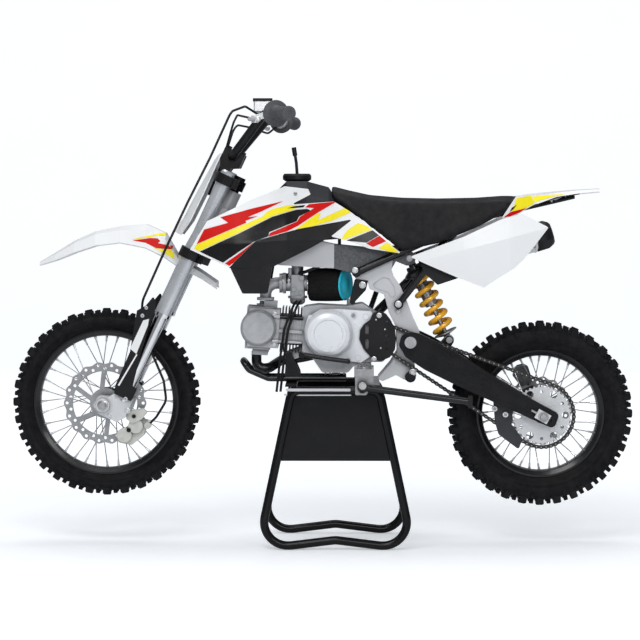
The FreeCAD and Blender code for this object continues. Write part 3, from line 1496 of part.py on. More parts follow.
def tab(panel, x, z, y_from, radius):
    """Boss across to the inner face of a panel, on the panel's own side."""
    side = 1 if panel.BoundBox.Center.y > 0 else -1
    probe = Part.LineSegment(Vector(x, side * y_from, z), Vector(x, side * 300, z)).toShape().common(panel)
    ys = [abs(v.Point.y) for v in probe.Vertexes]
    boss = rod_y(x, z, side * y_from, side * (min(ys) + 1.0), radius).cut(panel)
    return max(boss.Solids, key=lambda s: s.Volume)


def shroud(side):
    """White side panel with its point under the seat."""
    outline = [(-336, 766), (-293, 838), (-247, 860), (-180, 893), (-96, 927), (-36, 920), (-30, 906),
               (-80, 880),
               (30, 888), (70, 863), (122, 820), (203, 755), (120, 768), (58, 790), (22, 799), (78, 843),
               (-62, 818),
               (-169, 789), (-238, 721)]
    skin = body_shell(SHROUD_STATIONS, panel_wall)
    left = skin.common(plate(outline, -200, 0, 2.0))
    return left if side < 0 else mirrored(left)


def lower_panel(side):
    """Dark panel below the white one."""
    outline = [(-238, 719), (-169, 787), (-62, 816), (76, 841), (20, 798), (-27, 771), (-113, 728),
               (-134, 718)]
    skin = body_shell(SHROUD_STATIONS, panel_wall)
    left = skin.common(plate(outline, -200, 0))
    left = left.cut(plate([(-336, 766), (-293, 838), (-247, 860), (-180, 893), (-96, 927), (-36, 920),
                           (-30, 906),
                           (-80, 880), (30, 888), (70, 863), (122, 820), (203, 755), (120, 768), (58, 790),
                           (22, 799),
                           (78, 843), (-62, 818), (-169, 789), (-238, 721)], -201, 1, 2.0))
    return left if side < 0 else mirrored(left)


def air_duct(side):
    """Small scoop hanging under the dark panel."""
    outline = [(-236, 724), (-203, 654), (-139, 654), (-127, 724)]
    body = plate(outline, *span(side * 92, side * 131), 5.0)
    hollow = plate([(-226, 730), (-197, 660), (-145, 660), (-137, 730)], *span(side * 80, side * 126), 4.0)
    return body.cut(hollow)


def fuel_tank():
    """Plastic tank that straddles the frame between the side panels."""
    stations = [
        (-112, 40, 58, 921, 800),
        (-92, 54, 74, 940, 790),
        (-40, 58, 78, 940, 786),
        (16, 56, 76, 925, 790),
        (66, 50, 70, 850, 794),
    ]
    sections = []
    for x, top, mid, z_top, z_low in stations:
        z_mid = z_top - 34
        sections.append([(x, -mid, z_low), (x, -mid, z_mid), (x, -top, z_top), (x, top, z_top),
                         (x, mid, z_mid),
                         (x, mid, z_low)])
    return loft(sections)


def fuel_tap():
    """Fuel tap under the tank, between the frame spars."""
    body = rod((-16, -14, 762), (-16, -14, 787), 9)
    collar = rod((-16, -14, 780), (-16, -14, 786.5), 13)
    outlet = rod((-30, -14, 768), (-4, -14, 768), 6)
    stem = rod_y(-16, 768, -32, -14, 5)
    lever = block((-21, -11), (-36, -30), (756, 780))
    return fuse([body, collar, outlet, stem, lever])


def engine_hoses():
    """Fuel hose, vent hose, throttle cable and the carburettor's two drain hoses."""
    fuel = tube([(-30, -14, 768), (-48, -18, 766), (-52, -26, 730), (-54, -20, 692)], 3.5, 18)
    vent = tube([(44, -26, 791.5), (44, -26, 742), (-4, -32, 722), (-44, -32, 706), (-60, -18, 702)], 4.3, 26)
    throttle = tube([(-65, 0, 744), (-66, 0, 764), (-110, 0, 776), (-150, -12, 806), (-214, -12, 822)], 3.0,
                    40)
    cords = [fuel, vent, throttle]
    for x, y in ((-64, -62), (-74, -69)):
        cords.append(tube([(x + 8, -14, 630), (x, y, 625), (x - 24, y, 560), (x - 34, y, 490),
                           (x - 44, y, 398)],
                          hose_r, 40))
    return cords


def fuel_cap():
    cap = revolve_z([(0, 0), (30, 0), (37, 5), (37, 15), (33, 20), (0, 20)])
    cap.translate(Vector(-66, 0, 940))
    hose = tube([(-66, 0, 960), (-68, 0, 988), (-74, 0, 1026)], 4, 40)
    valve = rod((-71, 0, 1006), (-74.5, 0, 1028), 6)
    return fuse([cap, hose, valve])


SEAT_STATIONS = [
    (24, 58, 64, 928, 892),
    (72, 66, 84, 916, 862),
    (122, 74, 88, 905, 822),
    (204, 86, 92, 898, 760),
    (300, 98, 104, 896, 782),
    (400, 100, 110, 898, 824),
    (470, 92, 100, 903, 862),
    (500, 70, 84, 902, 884),
]


def seat():
    """Long saddle, its sides running down to the panels."""
    sections = []
    for x, top, low, z_top, z_low in SEAT_STATIONS:
        sections.append([(x, -low + 6, z_low), (x, -low, z_low + 14), (x, -top, z_top - 12),
                         (x, -top * 0.7, z_top),
                         (x, top * 0.7, z_top), (x, top, z_top - 12), (x, low, z_low + 14),
                         (x, low - 6, z_low)])
    cavity = plate([(0, 700), (0, 848), (300, 848), (400, 862), (486, 884), (520, 884), (520, 700)],
                   -seat_cavity_y, seat_cavity_y)
    return loft(sections).cut(cavity)


TAIL_STATIONS = [
    (215, [(86, 900), (95, 726), (94, 716), (84, 640)]),
    (360, [(98, 900), (113, 764), (112, 754), (98, 640)]),
    (480, [(96, 900), (118, 796), (117, 786), (100, 640)]),
    (590, [(86, 900), (105, 825), (104, 815), (88, 640)]),
]


def side_panel(side):
    """White rear side panel."""
    outline = [(224, 747), (362, 799), (459, 844), (510, 857), (577, 822), (520, 747), (491, 718),
               (412, 668), (348, 693),
               (280, 722)]
    skin = body_shell(TAIL_STATIONS, panel_wall)
    left = skin.common(plate(outline, -200, 0, 3.0))
    return left if side < 0 else mirrored(left)


def rear_fender():
    stations = [
        (500, 902, 868, 72),
        (540, 908, 878, 78),
        (600, 914, 900, 74),
        (660, 919, 909, 66),
        (714, 922, 914, 50),
    ]
    return loft([fender_section(*s, panel_wall) for s in stations])


def tail_liner():
    """Dark under-tail below the rear fender."""
    stations = [(512, 901, 868, 56), (590, 911, 886, 52), (650, 916.5, 900, 44)]
    return loft([fender_section(*s, 5.0) for s in stations])


def splash_plate(side):
    """Dark inner plate between the rear strut and the lower edge of the side panel."""
    y = side * (subframe_y + 6)
    return plate([(244, 752), (262, 760), (352, 706), (356, 694), (296, 674), (262, 704)], y, y + side * 3,
                 5.0)


# Paddock stand

def stand_leg_half(z):
    """Distance from the stand's middle to a leg's centre line at a height."""
    top = stand_tube_top - stand_tube_r
    share = (top - z) / (top - stand_tube_r)
    return stand_leg_top_half + share * (stand_foot_half - stand_leg_top_half)


def stand_loop(side):
    """One side hoop: legs that spread to a waved foot."""
    y, r = side * stand_half_width, stand_tube_r
    top = stand_tube_top - r
    mid, head, foot, wave = stand_mid_x, stand_leg_top_half, stand_foot_half, stand_foot_flat
    points = [(mid, y, top), (mid - head, y, top), (mid - foot, y, r), (mid - wave, y, r),
              (mid, y, r + stand_foot_rise),
              (mid + wave, y, r), (mid + foot, y, r), (mid + head, y, top)]
    bends = [0.0, stand_top_bend_r] + [stand_foot_bend_r] * 5 + [stand_top_bend_r]
    return tube(points, r, bends, closed=True)


def stand_frame():
    """Two hoops joined by four cross tubes."""
    cross = []
    for z, inset, radius in ((stand_tube_top - stand_tube_r + 1, 5.0, stand_tube_r - 1), (200.0, 0.0, 8.0)):
        for s in (-1, 1):
            x = stand_mid_x + s * (stand_leg_half(z) - inset)
            cross.append(rod_y(x, z, -stand_half_width, stand_half_width, radius))
    return fuse([stand_loop(-1), stand_loop(1)] + cross)


def stand_straps():
    """Flat bars across the top of the hoops, which carry the engine guard and the footpeg bar."""
    reach = stand_half_width + 8
    return [block(x, (-reach, reach), (stand_top_z - stand_strap_wall, stand_top_z))
            for x in ((-94, -66), (84, 148))]


def stand_panel(side):
    """Sheet side panel between the legs of one hoop."""
    high, low = stand_tube_top - stand_tube_r, 227.0
    outline = [(stand_mid_x + s * stand_leg_half(z), z) for s,
               z in ((-1, high), (1, high), (1, low), (-1, low))]
    y = side * (stand_half_width - stand_tube_r + 2)
    return plate(outline, y, y - side * 2, 4.0)


def chassis_nodes():
    muffler = fuse(list(silencer()))
    frame = main_frame()
    tail = fuse([rear_fender(), tail_liner()])
    shrouds = [shroud(s) for s in (-1, 1)]
    rails = subframe()
    lowers = [fuse([lower_panel(s), air_duct(s)]) for s in (-1, 1)]
    side_panels = [side_panel(s) for s in (-1, 1)]
    frame = fuse([frame] + [tab(p, -190, 815, spar_inner_y + spar_wall - 1, 7) for p in shrouds])
    frame = fuse([frame] + [tab(p, -150, 772, spar_inner_y + spar_wall - 1, 7) for p in lowers])
    rails = fuse([rails] + [tab(p, x, z, subframe_y, 6) for p in side_panels for x,
                            z in ((285, 742), (318, 774))])
    saddle = seat()
    splashes = [splash_plate(s).cut(rails) for s in (-1, 1)]
    tank = fuse([fuel_tank()] + [tab(p, 0, 856, 60, 7) for p in shrouds]).cut([frame, saddle])
    crankcase = engine_crankcase()
    head = cylinder_head()
    intake = fuse([intake_manifold(), carburettor()])
    hoses = [fuel_tap()] + [cord.cut([frame, intake, crankcase]) for cord in engine_hoses()]
    nodes = {
        "main_frame": frame,
        "subframe": rails.cut([frame, tail]),
        "swingarm": swingarm(),
        "rear_axle_and_pivot_bolts": Part.makeCompound([rear_axle(), pivot_bolt(), side_stand_bolt()]
                                                       + shock_bolts()),
        "rear_shock": rear_shock(),
        "shock_spring": shock_spring(),
        "drive_chain": drive_chain(),
        "front_sprocket": front_sprocket(),
        "chain_guards": Part.makeCompound([sprocket_cover(), chain_guide(), chain_roller()]),
        "engine_crankcase": crankcase,
        "engine_side_covers": Part.makeCompound([left_cover(), right_cover()]),
        "engine_cylinder": cylinder().cut(crankcase),
        "engine_cylinder_head": head,
        "carburettor": intake,
        "air_filter": fuse([air_filter(), filter_cap()]),
        "exhaust_pipe": exhaust_pipe().cut([head, muffler]),
        "silencer": muffler,
        "foot_controls": Part.makeCompound([shift_lever(), kick_starter(), rear_brake_pedal()]),
        "engine_guard": fuse([engine_guard(), engine_bracket()]).cut(crankcase),
        "footpegs": fuse([footpeg_bar(), footpeg(-1), footpeg(1)]),
        "side_shrouds": Part.makeCompound(shrouds),
        "lower_panels": Part.makeCompound(lowers + splashes),
        "fuel_tank": tank,
        "fuel_cap": fuel_cap(),
        "seat": saddle,
        "rear_side_panels": Part.makeCompound(side_panels),
        "rear_fender": tail,
        "rear_brake_caliper": rear_caliper(),
        "engine_hoses": Part.makeCompound(hoses),
        "paddock_stand": fuse([stand_frame(), stand_panel(-1), stand_panel(1)] + stand_straps()),
    }
    return nodes


def build():
    nodes = {}
    nodes.update(chassis_nodes())
    nodes.update(steering_nodes())
    nodes.update(front_wheel_nodes())
    nodes.update(rear_wheel_nodes())
    nodes["side_stand"] = side_stand()
    return nodes


def main():
    os.makedirs("parts", exist_ok=True)
    for name, shape in build().items():
        shape.exportStep("parts/" + name + ".step")


main()
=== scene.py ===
import random
from math import asin, atan2, cos, hypot, pi, radians, sin

import bmesh
import bpy
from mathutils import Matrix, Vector
from mathutils.bvhtree import BVHTree
from mathutils.geometry import delaunay_2d_cdt


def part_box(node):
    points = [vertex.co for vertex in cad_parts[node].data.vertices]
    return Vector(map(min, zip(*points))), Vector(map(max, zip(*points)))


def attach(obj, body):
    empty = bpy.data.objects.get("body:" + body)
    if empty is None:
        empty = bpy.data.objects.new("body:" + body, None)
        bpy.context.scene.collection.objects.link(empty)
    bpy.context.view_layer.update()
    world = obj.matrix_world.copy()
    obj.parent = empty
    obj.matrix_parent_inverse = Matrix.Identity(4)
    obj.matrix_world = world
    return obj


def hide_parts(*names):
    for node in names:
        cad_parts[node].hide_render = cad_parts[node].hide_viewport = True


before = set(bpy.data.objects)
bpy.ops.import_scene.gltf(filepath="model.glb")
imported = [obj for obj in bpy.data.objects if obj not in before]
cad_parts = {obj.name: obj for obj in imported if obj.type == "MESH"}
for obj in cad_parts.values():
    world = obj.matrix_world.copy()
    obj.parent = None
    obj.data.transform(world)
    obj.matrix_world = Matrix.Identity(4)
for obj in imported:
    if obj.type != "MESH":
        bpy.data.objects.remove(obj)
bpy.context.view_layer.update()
scene = bpy.context.scene
random.seed(7)

# Sides, directions and places, in metres
LEFT, RIGHT = -1, 1
REARWARD = Vector((1.0, 0.0, 0.0))
MM = 0.001


def box_of(node):
    low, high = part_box(node)
    return Vector(low), Vector(high)


def middle_of(node):
    low, high = box_of(node)
    return (low + high) / 2


front_axle = middle_of("front_tyre")
front_axle.y = 0.0
rear_axle = middle_of("rear_tyre")
rear_axle.y = 0.0
shock_low = Vector((0.329, 0.0, 0.529))
shock_top = Vector((0.225, 0.0, 0.741))


def new_object(name, data):
    thing = bpy.data.objects.new(name, data)
    scene.collection.objects.link(thing)
    return thing


def across(y):
    return Vector((0.0, y, 0.0))


def outward(angle):
    return Vector((cos(angle), 0.0, sin(angle)))


def turned(first, second, angle):
    """Direction at an angle from the first of two directions towards the second."""
    return first * cos(angle) + second * sin(angle)


def full_turn(steps):
    return [2 * pi * i / steps for i in range(steps)]


def metres(outline):
    return [(x * MM, z * MM) for x, z in outline]


# Materials

CORNER_REACH = 0.016
CORNER_SAMPLES = 12
FINE_GRAIN = 1500.0
GRAIN_DEPTH = 0.0003
mats = {}


def set_inputs(item, values):
    for key, value in values.items():
        item.inputs[key].default_value = value


def noise(tree, scale, detail=4.0, rough=0.55, stretch=(1.0, 1.0, 1.0)):
    """Noise over the object's own coordinates, in metres."""
    coords = tree.nodes.new("ShaderNodeTexCoord")
    mapping = tree.nodes.new("ShaderNodeMapping")
    mapping.inputs["Scale"].default_value = stretch
    texture = tree.nodes.new("ShaderNodeTexNoise")
    set_inputs(texture, {"Scale": scale, "Detail": detail, "Roughness": rough})
    tree.links.new(coords.outputs["Object"], mapping.inputs["Vector"])
    tree.links.new(mapping.outputs["Vector"], texture.inputs["Vector"])
    return texture


def ramp(tree, source, stops):
    made = tree.nodes.new("ShaderNodeValToRGB")
    elements = made.color_ramp.elements
    while len(elements) < len(stops):
        elements.new(0.5)
    for element, (place, colour) in zip(elements, stops):
        element.position = place
        element.color = tuple(colour) + (1.0,)
    tree.links.new(source, made.inputs["Fac"])
    return made


def spread(tree, source, low, high, start=0.3, stop=0.7):
    """Carries a value from one range, start to stop, to another."""
    made = tree.nodes.new("ShaderNodeMapRange")
    set_inputs(made, {"From Min": start, "From Max": stop, "To Min": low, "To Max": high})
    tree.links.new(source, made.inputs["Value"])
    return made


def bump(tree, shader, source, strength, distance):
    made = tree.nodes.new("ShaderNodeBump")
    set_inputs(made, {"Strength": strength, "Distance": distance})
    tree.links.new(source, made.inputs["Height"])
    tree.links.new(made.outputs["Normal"], shader.inputs["Normal"])


def in_corners(tree, colour, amount):
    """Darkens a colour where other surfaces stand close: painted shade in corners and gaps."""
    closeness = tree.nodes.new("ShaderNodeAmbientOcclusion")
    closeness.samples = CORNER_SAMPLES
    closeness.inputs["Distance"].default_value = CORNER_REACH
    shade = spread(tree, closeness.outputs["AO"], 1.0 - amount, 1.0, 0.25, 0.9)
    mixed = tree.nodes.new("ShaderNodeMix")
    mixed.data_type = "RGBA"
    mixed.blend_type = "MULTIPLY"
    mixed.inputs["Factor"].default_value = 1.0
    tree.links.new(colour, mixed.inputs["A"])
    tree.links.new(shade.outputs["Result"], mixed.inputs["B"])
    return mixed.outputs["Result"]


def varied(name, dark, light, rough, metal=0.0, scale=30.0, grain=0.0, grain_scale=900.0, coat=0.0,
           stretch=(1.0, 1.0, 1.0), specular=0.5, painted_corner_shade=0.0):
    """Surface with a colour and a roughness that vary a little, and a fine grain."""
    material = bpy.data.materials.new(name)
    material.use_nodes = True
    tree = material.node_tree
    shader = tree.nodes["Principled BSDF"]
    patches = noise(tree, scale)
    tones = ramp(tree, patches.outputs["Fac"], [(0.35, dark), (0.65, light)])
    colour = tones.outputs["Color"]
    # Painted shade: the colour darkens where other surfaces stand close.
    if painted_corner_shade:
        colour = in_corners(tree, colour, painted_corner_shade)
    tree.links.new(colour, shader.inputs["Base Color"])
    wear = noise(tree, 16.0, 2.0, 0.5, stretch)
    gloss = spread(tree, wear.outputs["Fac"], rough[0], rough[1])
    tree.links.new(gloss.outputs["Result"], shader.inputs["Roughness"])
    set_inputs(shader, {"Metallic": metal, "Specular IOR Level": specular, "Coat Weight": coat,
                        "Coat Roughness": 0.08})
    if grain:
        fine = noise(tree, grain_scale, 3.0, 0.6, stretch)
        bump(tree, shader, fine.outputs["Fac"], grain, GRAIN_DEPTH)
    mats[name] = material
    return material


# The corner-shade amounts below darken a look's colour where other surfaces stand close: painted shade.
varied("white_plastic", (0.83, 0.84, 0.85), (0.85, 0.86, 0.87), (0.27, 0.32), scale=5.0)
varied("black_plastic", (0.006, 0.006, 0.007), (0.011, 0.011, 0.012), (0.34, 0.46), scale=20.0, grain=0.15,
       grain_scale=FINE_GRAIN, specular=0.24)
varied("gloss_black", (0.003, 0.003, 0.004), (0.006, 0.006, 0.007), (0.12, 0.22), scale=15.0,
       specular=0.20, coat=0.06)
varied("tank_plastic", (0.022, 0.024, 0.028), (0.032, 0.034, 0.039), (0.34, 0.44), scale=18.0, grain=0.15,
       grain_scale=FINE_GRAIN, specular=0.35)
varied("frame_paint", (0.56, 0.57, 0.59), (0.62, 0.63, 0.65), (0.28, 0.40), metal=0.18, scale=6.0,
       painted_corner_shade=0.5)
# Darker frame colour for the frame's upper side faces under the shroud: painted shade.
varied("painted_shade_frame", (0.075, 0.078, 0.085), (0.125, 0.13, 0.14), (0.36, 0.50), metal=0.3, scale=200.0,
       grain=0.2, grain_scale=700.0)
varied("black_paint", (0.005, 0.005, 0.006), (0.009, 0.009, 0.010), (0.18, 0.28), scale=18.0,
       specular=0.35, coat=0.12)
varied("black_alloy", (0.006, 0.006, 0.007), (0.011, 0.011, 0.012), (0.22, 0.32), metal=0.2, scale=30.0,
       specular=0.28)
varied("cast_alloy", (0.38, 0.388, 0.405), (0.46, 0.468, 0.485), (0.32, 0.46), metal=0.35, scale=60.0,
       grain=0.12, grain_scale=1300.0, painted_corner_shade=0.75)
varied("cover_paint", (0.78, 0.80, 0.84), (0.82, 0.84, 0.88), (0.24, 0.34), metal=0.12, scale=6.0,
       painted_corner_shade=0.6)
varied("bright_alloy", (0.70, 0.71, 0.72), (0.76, 0.77, 0.78), (0.20, 0.30), metal=0.45, scale=25.0,
       painted_corner_shade=0.6)
varied("cream_alloy", (0.54, 0.54, 0.50), (0.62, 0.62, 0.58), (0.34, 0.46), metal=0.25, scale=50.0,
       grain=0.12, painted_corner_shade=0.6)
varied("fork_alloy", (0.52, 0.54, 0.57), (0.60, 0.62, 0.65), (0.20, 0.30), metal=0.55, scale=12.0)
varied("chrome", (0.72, 0.73, 0.75), (0.82, 0.83, 0.85), (0.06, 0.12), metal=1.0, scale=10.0)
varied("steel", (0.40, 0.40, 0.41), (0.52, 0.52, 0.53), (0.22, 0.34), metal=0.85, scale=60.0,
       grain=0.05, painted_corner_shade=0.5)
varied("dark_steel", (0.06, 0.06, 0.062), (0.12, 0.12, 0.122), (0.30, 0.45), metal=0.8, scale=70.0,
       grain=0.1)
varied("disc_steel", (0.34, 0.345, 0.355), (0.42, 0.425, 0.435), (0.26, 0.38), metal=0.7, scale=20.0,
       grain=0.08, grain_scale=700.0, stretch=(1.0, 30.0, 1.0), painted_corner_shade=0.3)
varied("sprocket_alloy", (0.66, 0.67, 0.685), (0.72, 0.73, 0.745), (0.26, 0.36), metal=0.35, scale=40.0)
varied("gold_paint", (0.90, 0.43, 0.02), (0.97, 0.52, 0.035), (0.22, 0.34), metal=0.15, scale=30.0,
       coat=0.2)
varied("chain_steel", (0.030, 0.029, 0.028), (0.070, 0.068, 0.065), (0.28, 0.44), metal=0.8, scale=120.0,
       grain=0.1)
varied("tyre_rubber", (0.004, 0.004, 0.005), (0.010, 0.010, 0.011), (0.50, 0.70), scale=60.0, grain=0.3,
       grain_scale=1600.0, specular=0.14)
varied("grip_rubber", (0.050, 0.052, 0.058), (0.075, 0.078, 0.085), (0.55, 0.7), scale=80.0, grain=0.3,
       grain_scale=1600.0)
varied("seat_cover", (0.006, 0.006, 0.007), (0.013, 0.013, 0.014), (0.46, 0.60), scale=60.0, grain=0.8,
       grain_scale=1300.0, specular=0.20)
varied("filter_foam", (0.004, 0.004, 0.004), (0.012, 0.012, 0.012), (0.8, 0.95), scale=300.0, grain=1.0,
       grain_scale=FINE_GRAIN, specular=0.2)
varied("cyan_plastic", (0.02, 0.64, 0.86), (0.03, 0.70, 0.92), (0.28, 0.38), scale=40.0)
varied("red_film", (0.60, 0.004, 0.003), (0.66, 0.007, 0.005), (0.28, 0.36), scale=20.0, specular=0.12)
varied("yellow_film", (0.93, 0.78, 0.01), (0.97, 0.84, 0.015), (0.24, 0.32), scale=20.0, specular=0.3)
varied("black_film", (0.004, 0.004, 0.005), (0.007, 0.007, 0.008), (0.20, 0.28), scale=20.0, specular=0.25)
# White for the fork guards' strips, one of them a painted highlight along the guard's edge.
varied("white_film_and_highlight", (0.80, 0.81, 0.81), (0.84, 0.85, 0.85), (0.20, 0.28), scale=20.0)

NODES_OF_LOOK = {
    "white_plastic": ["side_shrouds", "rear_side_panels", "front_fender", "rear_fender",
        "front_number_plate"],
    "black_plastic": ["lower_panels", "chain_guards", "fork_guards", "fuel_cap", "hand_cables",
        "engine_hoses"],
    "tank_plastic": ["fuel_tank"],
    "frame_paint": ["main_frame"],
    "black_paint": ["subframe", "side_stand", "engine_guard", "exhaust_pipe", "front_rim", "rear_rim",
        "foot_controls"],
    "gloss_black": ["paddock_stand"],
    "black_alloy": ["swingarm", "triple_clamps", "handlebar_clamps", "handlebar"],
    "fork_alloy": ["fork_outer_tubes"],
    "bright_alloy": ["fork_feet", "hand_controls", "silencer"],
    "chrome": ["fork_inner_tubes"],
    "cream_alloy": ["front_brake_caliper"],
    "steel": ["front_axle", "rear_axle_and_pivot_bolts", "footpegs", "rear_shock", "front_hub_and_spokes",
        "rear_hub_and_spokes"],
    "grip_rubber": ["grips"],
    "seat_cover": ["seat"],
    "filter_foam": ["air_filter"],
    "cast_alloy": ["engine_crankcase", "engine_cylinder", "engine_cylinder_head", "carburettor"],
    "cover_paint": ["engine_side_covers"],
    "gold_paint": ["shock_spring"],
    "chain_steel": ["drive_chain"],
    "dark_steel": ["front_sprocket", "rear_brake_caliper"],
    "sprocket_alloy": ["rear_sprocket"],
    "disc_steel": ["front_brake_disc", "rear_brake_disc"],
    "tyre_rubber": ["front_tyre", "rear_tyre"],
}


def dress_nodes():
    for look, names in NODES_OF_LOOK.items():
        for name in names:
            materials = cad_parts[name].data.materials
            materials.clear()
            materials.append(mats[look])


dress_nodes()


# Building pieces from meshes

class Shape:
    """Collects the faces of one piece, each with the name of its look."""

    def __init__(self):
        self.verts, self.faces, self.tags, self.looks = [], [], [], []

    def add(self, verts, faces, look):
        if look not in self.looks:
            self.looks.append(look)
        start = len(self.verts)
        self.verts += [tuple(v) for v in verts]
        self.faces += [[start + i for i in face] for face in faces]
        self.tags += [self.looks.index(look)] * len(faces)

    def skin(self, rings, look, caps=(True, True), around=False):
        """Faces between rings that have the same number of points."""
        count, total = len(rings[0]), len(rings)
        faces = []
        for i in range(total if around else total - 1):
            n = (i + 1) % total
            for j in range(count):
                k = (j + 1) % count
                faces.append((i * count + j, i * count + k, n * count + k, n * count + j))
        if caps[0] and not around:
            faces.append(tuple(reversed(range(count))))
        if caps[1] and not around:
            faces.append(tuple((total - 1) * count + j for j in range(count)))
        self.add([p for ring in rings for p in ring], faces, look)

    def lathe(self, start, along, profile, look, steps=32):
        """Solid of revolution. The profile is (distance along, radius) points."""
        along = along.normalized()
        side = along.orthogonal().normalized()
        other = along.cross(side)
        rings = []
        for t, r in profile:
            middle, reach = start + along * t, max(r, 1e-5)
            rings.append([middle + turned(side, other, a) * reach for a in full_turn(steps)])
        self.skin(rings, look)

    def hoop(self, centre, section, look, steps=160):
        """Ring round the Y axis. The section is (y, radius) points of a closed line."""
        rings = []
        for a in full_turn(steps):
            rings.append([centre + Vector((cos(a) * r, y, sin(a) * r)) for y, r in section])
        self.skin(rings, look, around=True)

    def slab(self, outline, y0, y1, look, edge=0.0):
        """Plate across Y from an (x, z) outline, its edges chamfered."""
        low, high = min(y0, y1), max(y0, y1)
        middle = Vector((sum(p[0] for p in outline), sum(p[1] for p in outline))) / len(outline)
        inner = []
        for p in outline:
            arm = Vector(p) - middle
            inner.append(middle + arm * (1 - edge / max(arm.length, 1e-4)))
        rows = [(inner, low), (outline, low + edge), (outline, high - edge), (inner, high)]
        self.skin([[(p[0], y, p[1]) for p in points] for points, y in rows], look)

    def tube(self, points, radius, look, steps=10):
        """Round bar along a line of points."""
        points = [Vector(p) for p in points]
        rings = []
        side = (points[1] - points[0]).orthogonal().normalized()
        for i, p in enumerate(points):
            before, after = points[max(i - 1, 0)], points[min(i + 1, len(points) - 1)]
            along = (after - before).normalized()
            side = (side - along * side.dot(along)).normalized()
            other = along.cross(side)
            rings.append([p + turned(side, other, a) * radius for a in full_turn(steps)])
        self.skin(rings, look)

    def hex_bolt(self, place, along, radius, look):
        """Flanged hexagon head, standing on the face it holds."""
        r = radius
        self.lathe(place, along, [(-r * 0.4, r * 1.3), (r * 0.14, r * 1.3), (r * 0.22, r * 1.12)], look, 20)
        self.lathe(place, along, [(0, r), (r * 0.72, r), (r * 0.86, r * 0.84)], look, 6)

    def socket_bolt(self, place, along, radius, look):
        """Round head with a hexagon socket."""
        r = radius
        self.lathe(place, along, [(-r * 0.4, r), (r * 0.55, r), (r * 0.72, r * 0.86), (r * 0.72, r * 0.52),
                                  (r * 0.25, r * 0.48)], look, 18)

    def piece(self, name, body, replaced=(), smooth_deg=30.0):
        mesh = bpy.data.meshes.new(name)
        mesh.from_pydata(self.verts, [], self.faces)
        for look in self.looks:
            mesh.materials.append(mats[look])
        mesh.polygons.foreach_set("material_index", self.tags)
        tidy = bmesh.new()
        tidy.from_mesh(mesh)
        bmesh.ops.recalc_face_normals(tidy, faces=tidy.faces)
        tidy.to_mesh(mesh)
        tidy.free()
        shade_smooth(mesh)
        mesh.set_sharp_from_angle(angle=radians(smooth_deg))
        mesh.update()
        thing = new_object(name, mesh)
        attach(thing, body)
        if replaced:
            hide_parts(*replaced)


def shade_smooth(mesh):
    mesh.polygons.foreach_set("use_smooth", [True] * len(mesh.polygons))


def node_tree(name):
    """Search tree over the faces of one of the frame's nodes."""
    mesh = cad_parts[name].data
    return BVHTree.FromPolygons([v.co for v in mesh.vertices], [p.vertices for p in mesh.polygons])


def paint(name, look, where):
    """Gives a second look to the faces of a solid that pass a test of their centre and normal."""
    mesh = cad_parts[name].data
    mesh.materials.append(mats[look])
    index = len(mesh.materials) - 1
    for face in mesh.polygons:
        if where(face.center, face.normal):
            face.material_index = index


# Stripes: thin films that follow the panel they are stuck to

FILM_LIFT = 0.0009
FILM_STEP = 0.005
FILM_EDGE_GAP = FILM_STEP * 0.4
STEEPEST_FACE = 0.06
OUTSIDE_Y = 0.7


def ray_from_side(tree, x, z, side):
    """First point and normal met straight in from the left or the right."""
    place, normal, _, _ = tree.ray_cast(Vector((x, side * OUTSIDE_Y, z)), across(-side))
    return place, normal


def film_hit(tree, x, z, side):
    """Point just outside the panel, or nothing where the panel ends or turns away."""
    place, normal = ray_from_side(tree, x, z, side)
    if place is None or abs(normal.y) < STEEPEST_FACE or place.y * side < 0:
        return None
    return place + normal * (FILM_LIFT if normal.y * side > 0 else -FILM_LIFT)


def dense(outline):
    """The same closed line with points a film step apart."""
    points = []
    for i, p in enumerate(outline):
        q = outline[(i + 1) % len(outline)]
        run, rise = q[0] - p[0], q[1] - p[1]
        count = max(1, int(hypot(run, rise) / FILM_STEP))
        points += [(p[0] + run * k / count, p[1] + rise * k / count) for k in range(count)]
    return points


def inside(x, z, outline):
    within = False
    for i, p in enumerate(outline):
        q = outline[i - 1]
        if (p[1] > z) != (q[1] > z) and x < (q[0] - p[0]) * (z - p[1]) / (q[1] - p[1]) + p[0]:
            within = not within
    return within


def grid_inside(outline, edge):
    """Grid points within an outline that keep clear of its edge."""
    xs, zs = [p[0] for p in outline], [p[1] for p in outline]
    grid = []
    x = min(xs) + FILM_STEP / 2
    while x < max(xs):
        z = min(zs) + FILM_STEP / 2
        while z < max(zs):
            if inside(x, z, outline) and min(hypot(x - e[0], z - e[1]) for e in edge) > FILM_EDGE_GAP:
                grid.append((x, z))
            z += FILM_STEP
        x += FILM_STEP
    return grid


def triangles(outline, grid):
    """Flat points and faces that fill an outline."""
    made = delaunay_2d_cdt([Vector(p) for p in outline + grid], [], [list(range(len(outline)))], 1, 1e-6)
    return [tuple(v) for v in made[0]], [tuple(f) for f in made[2]]


def last_hit(tree, start, goal, side, found):
    """Last point on the way to the goal at which the film still meets the panel."""
    low, high = 0.0, 1.0
    for _ in range(7):
        share = (low + high) / 2
        trial = film_hit(tree, *(start + (goal - start) * share), side)
        if trial is None:
            high = share
        else:
            low, found = share, trial
    return found


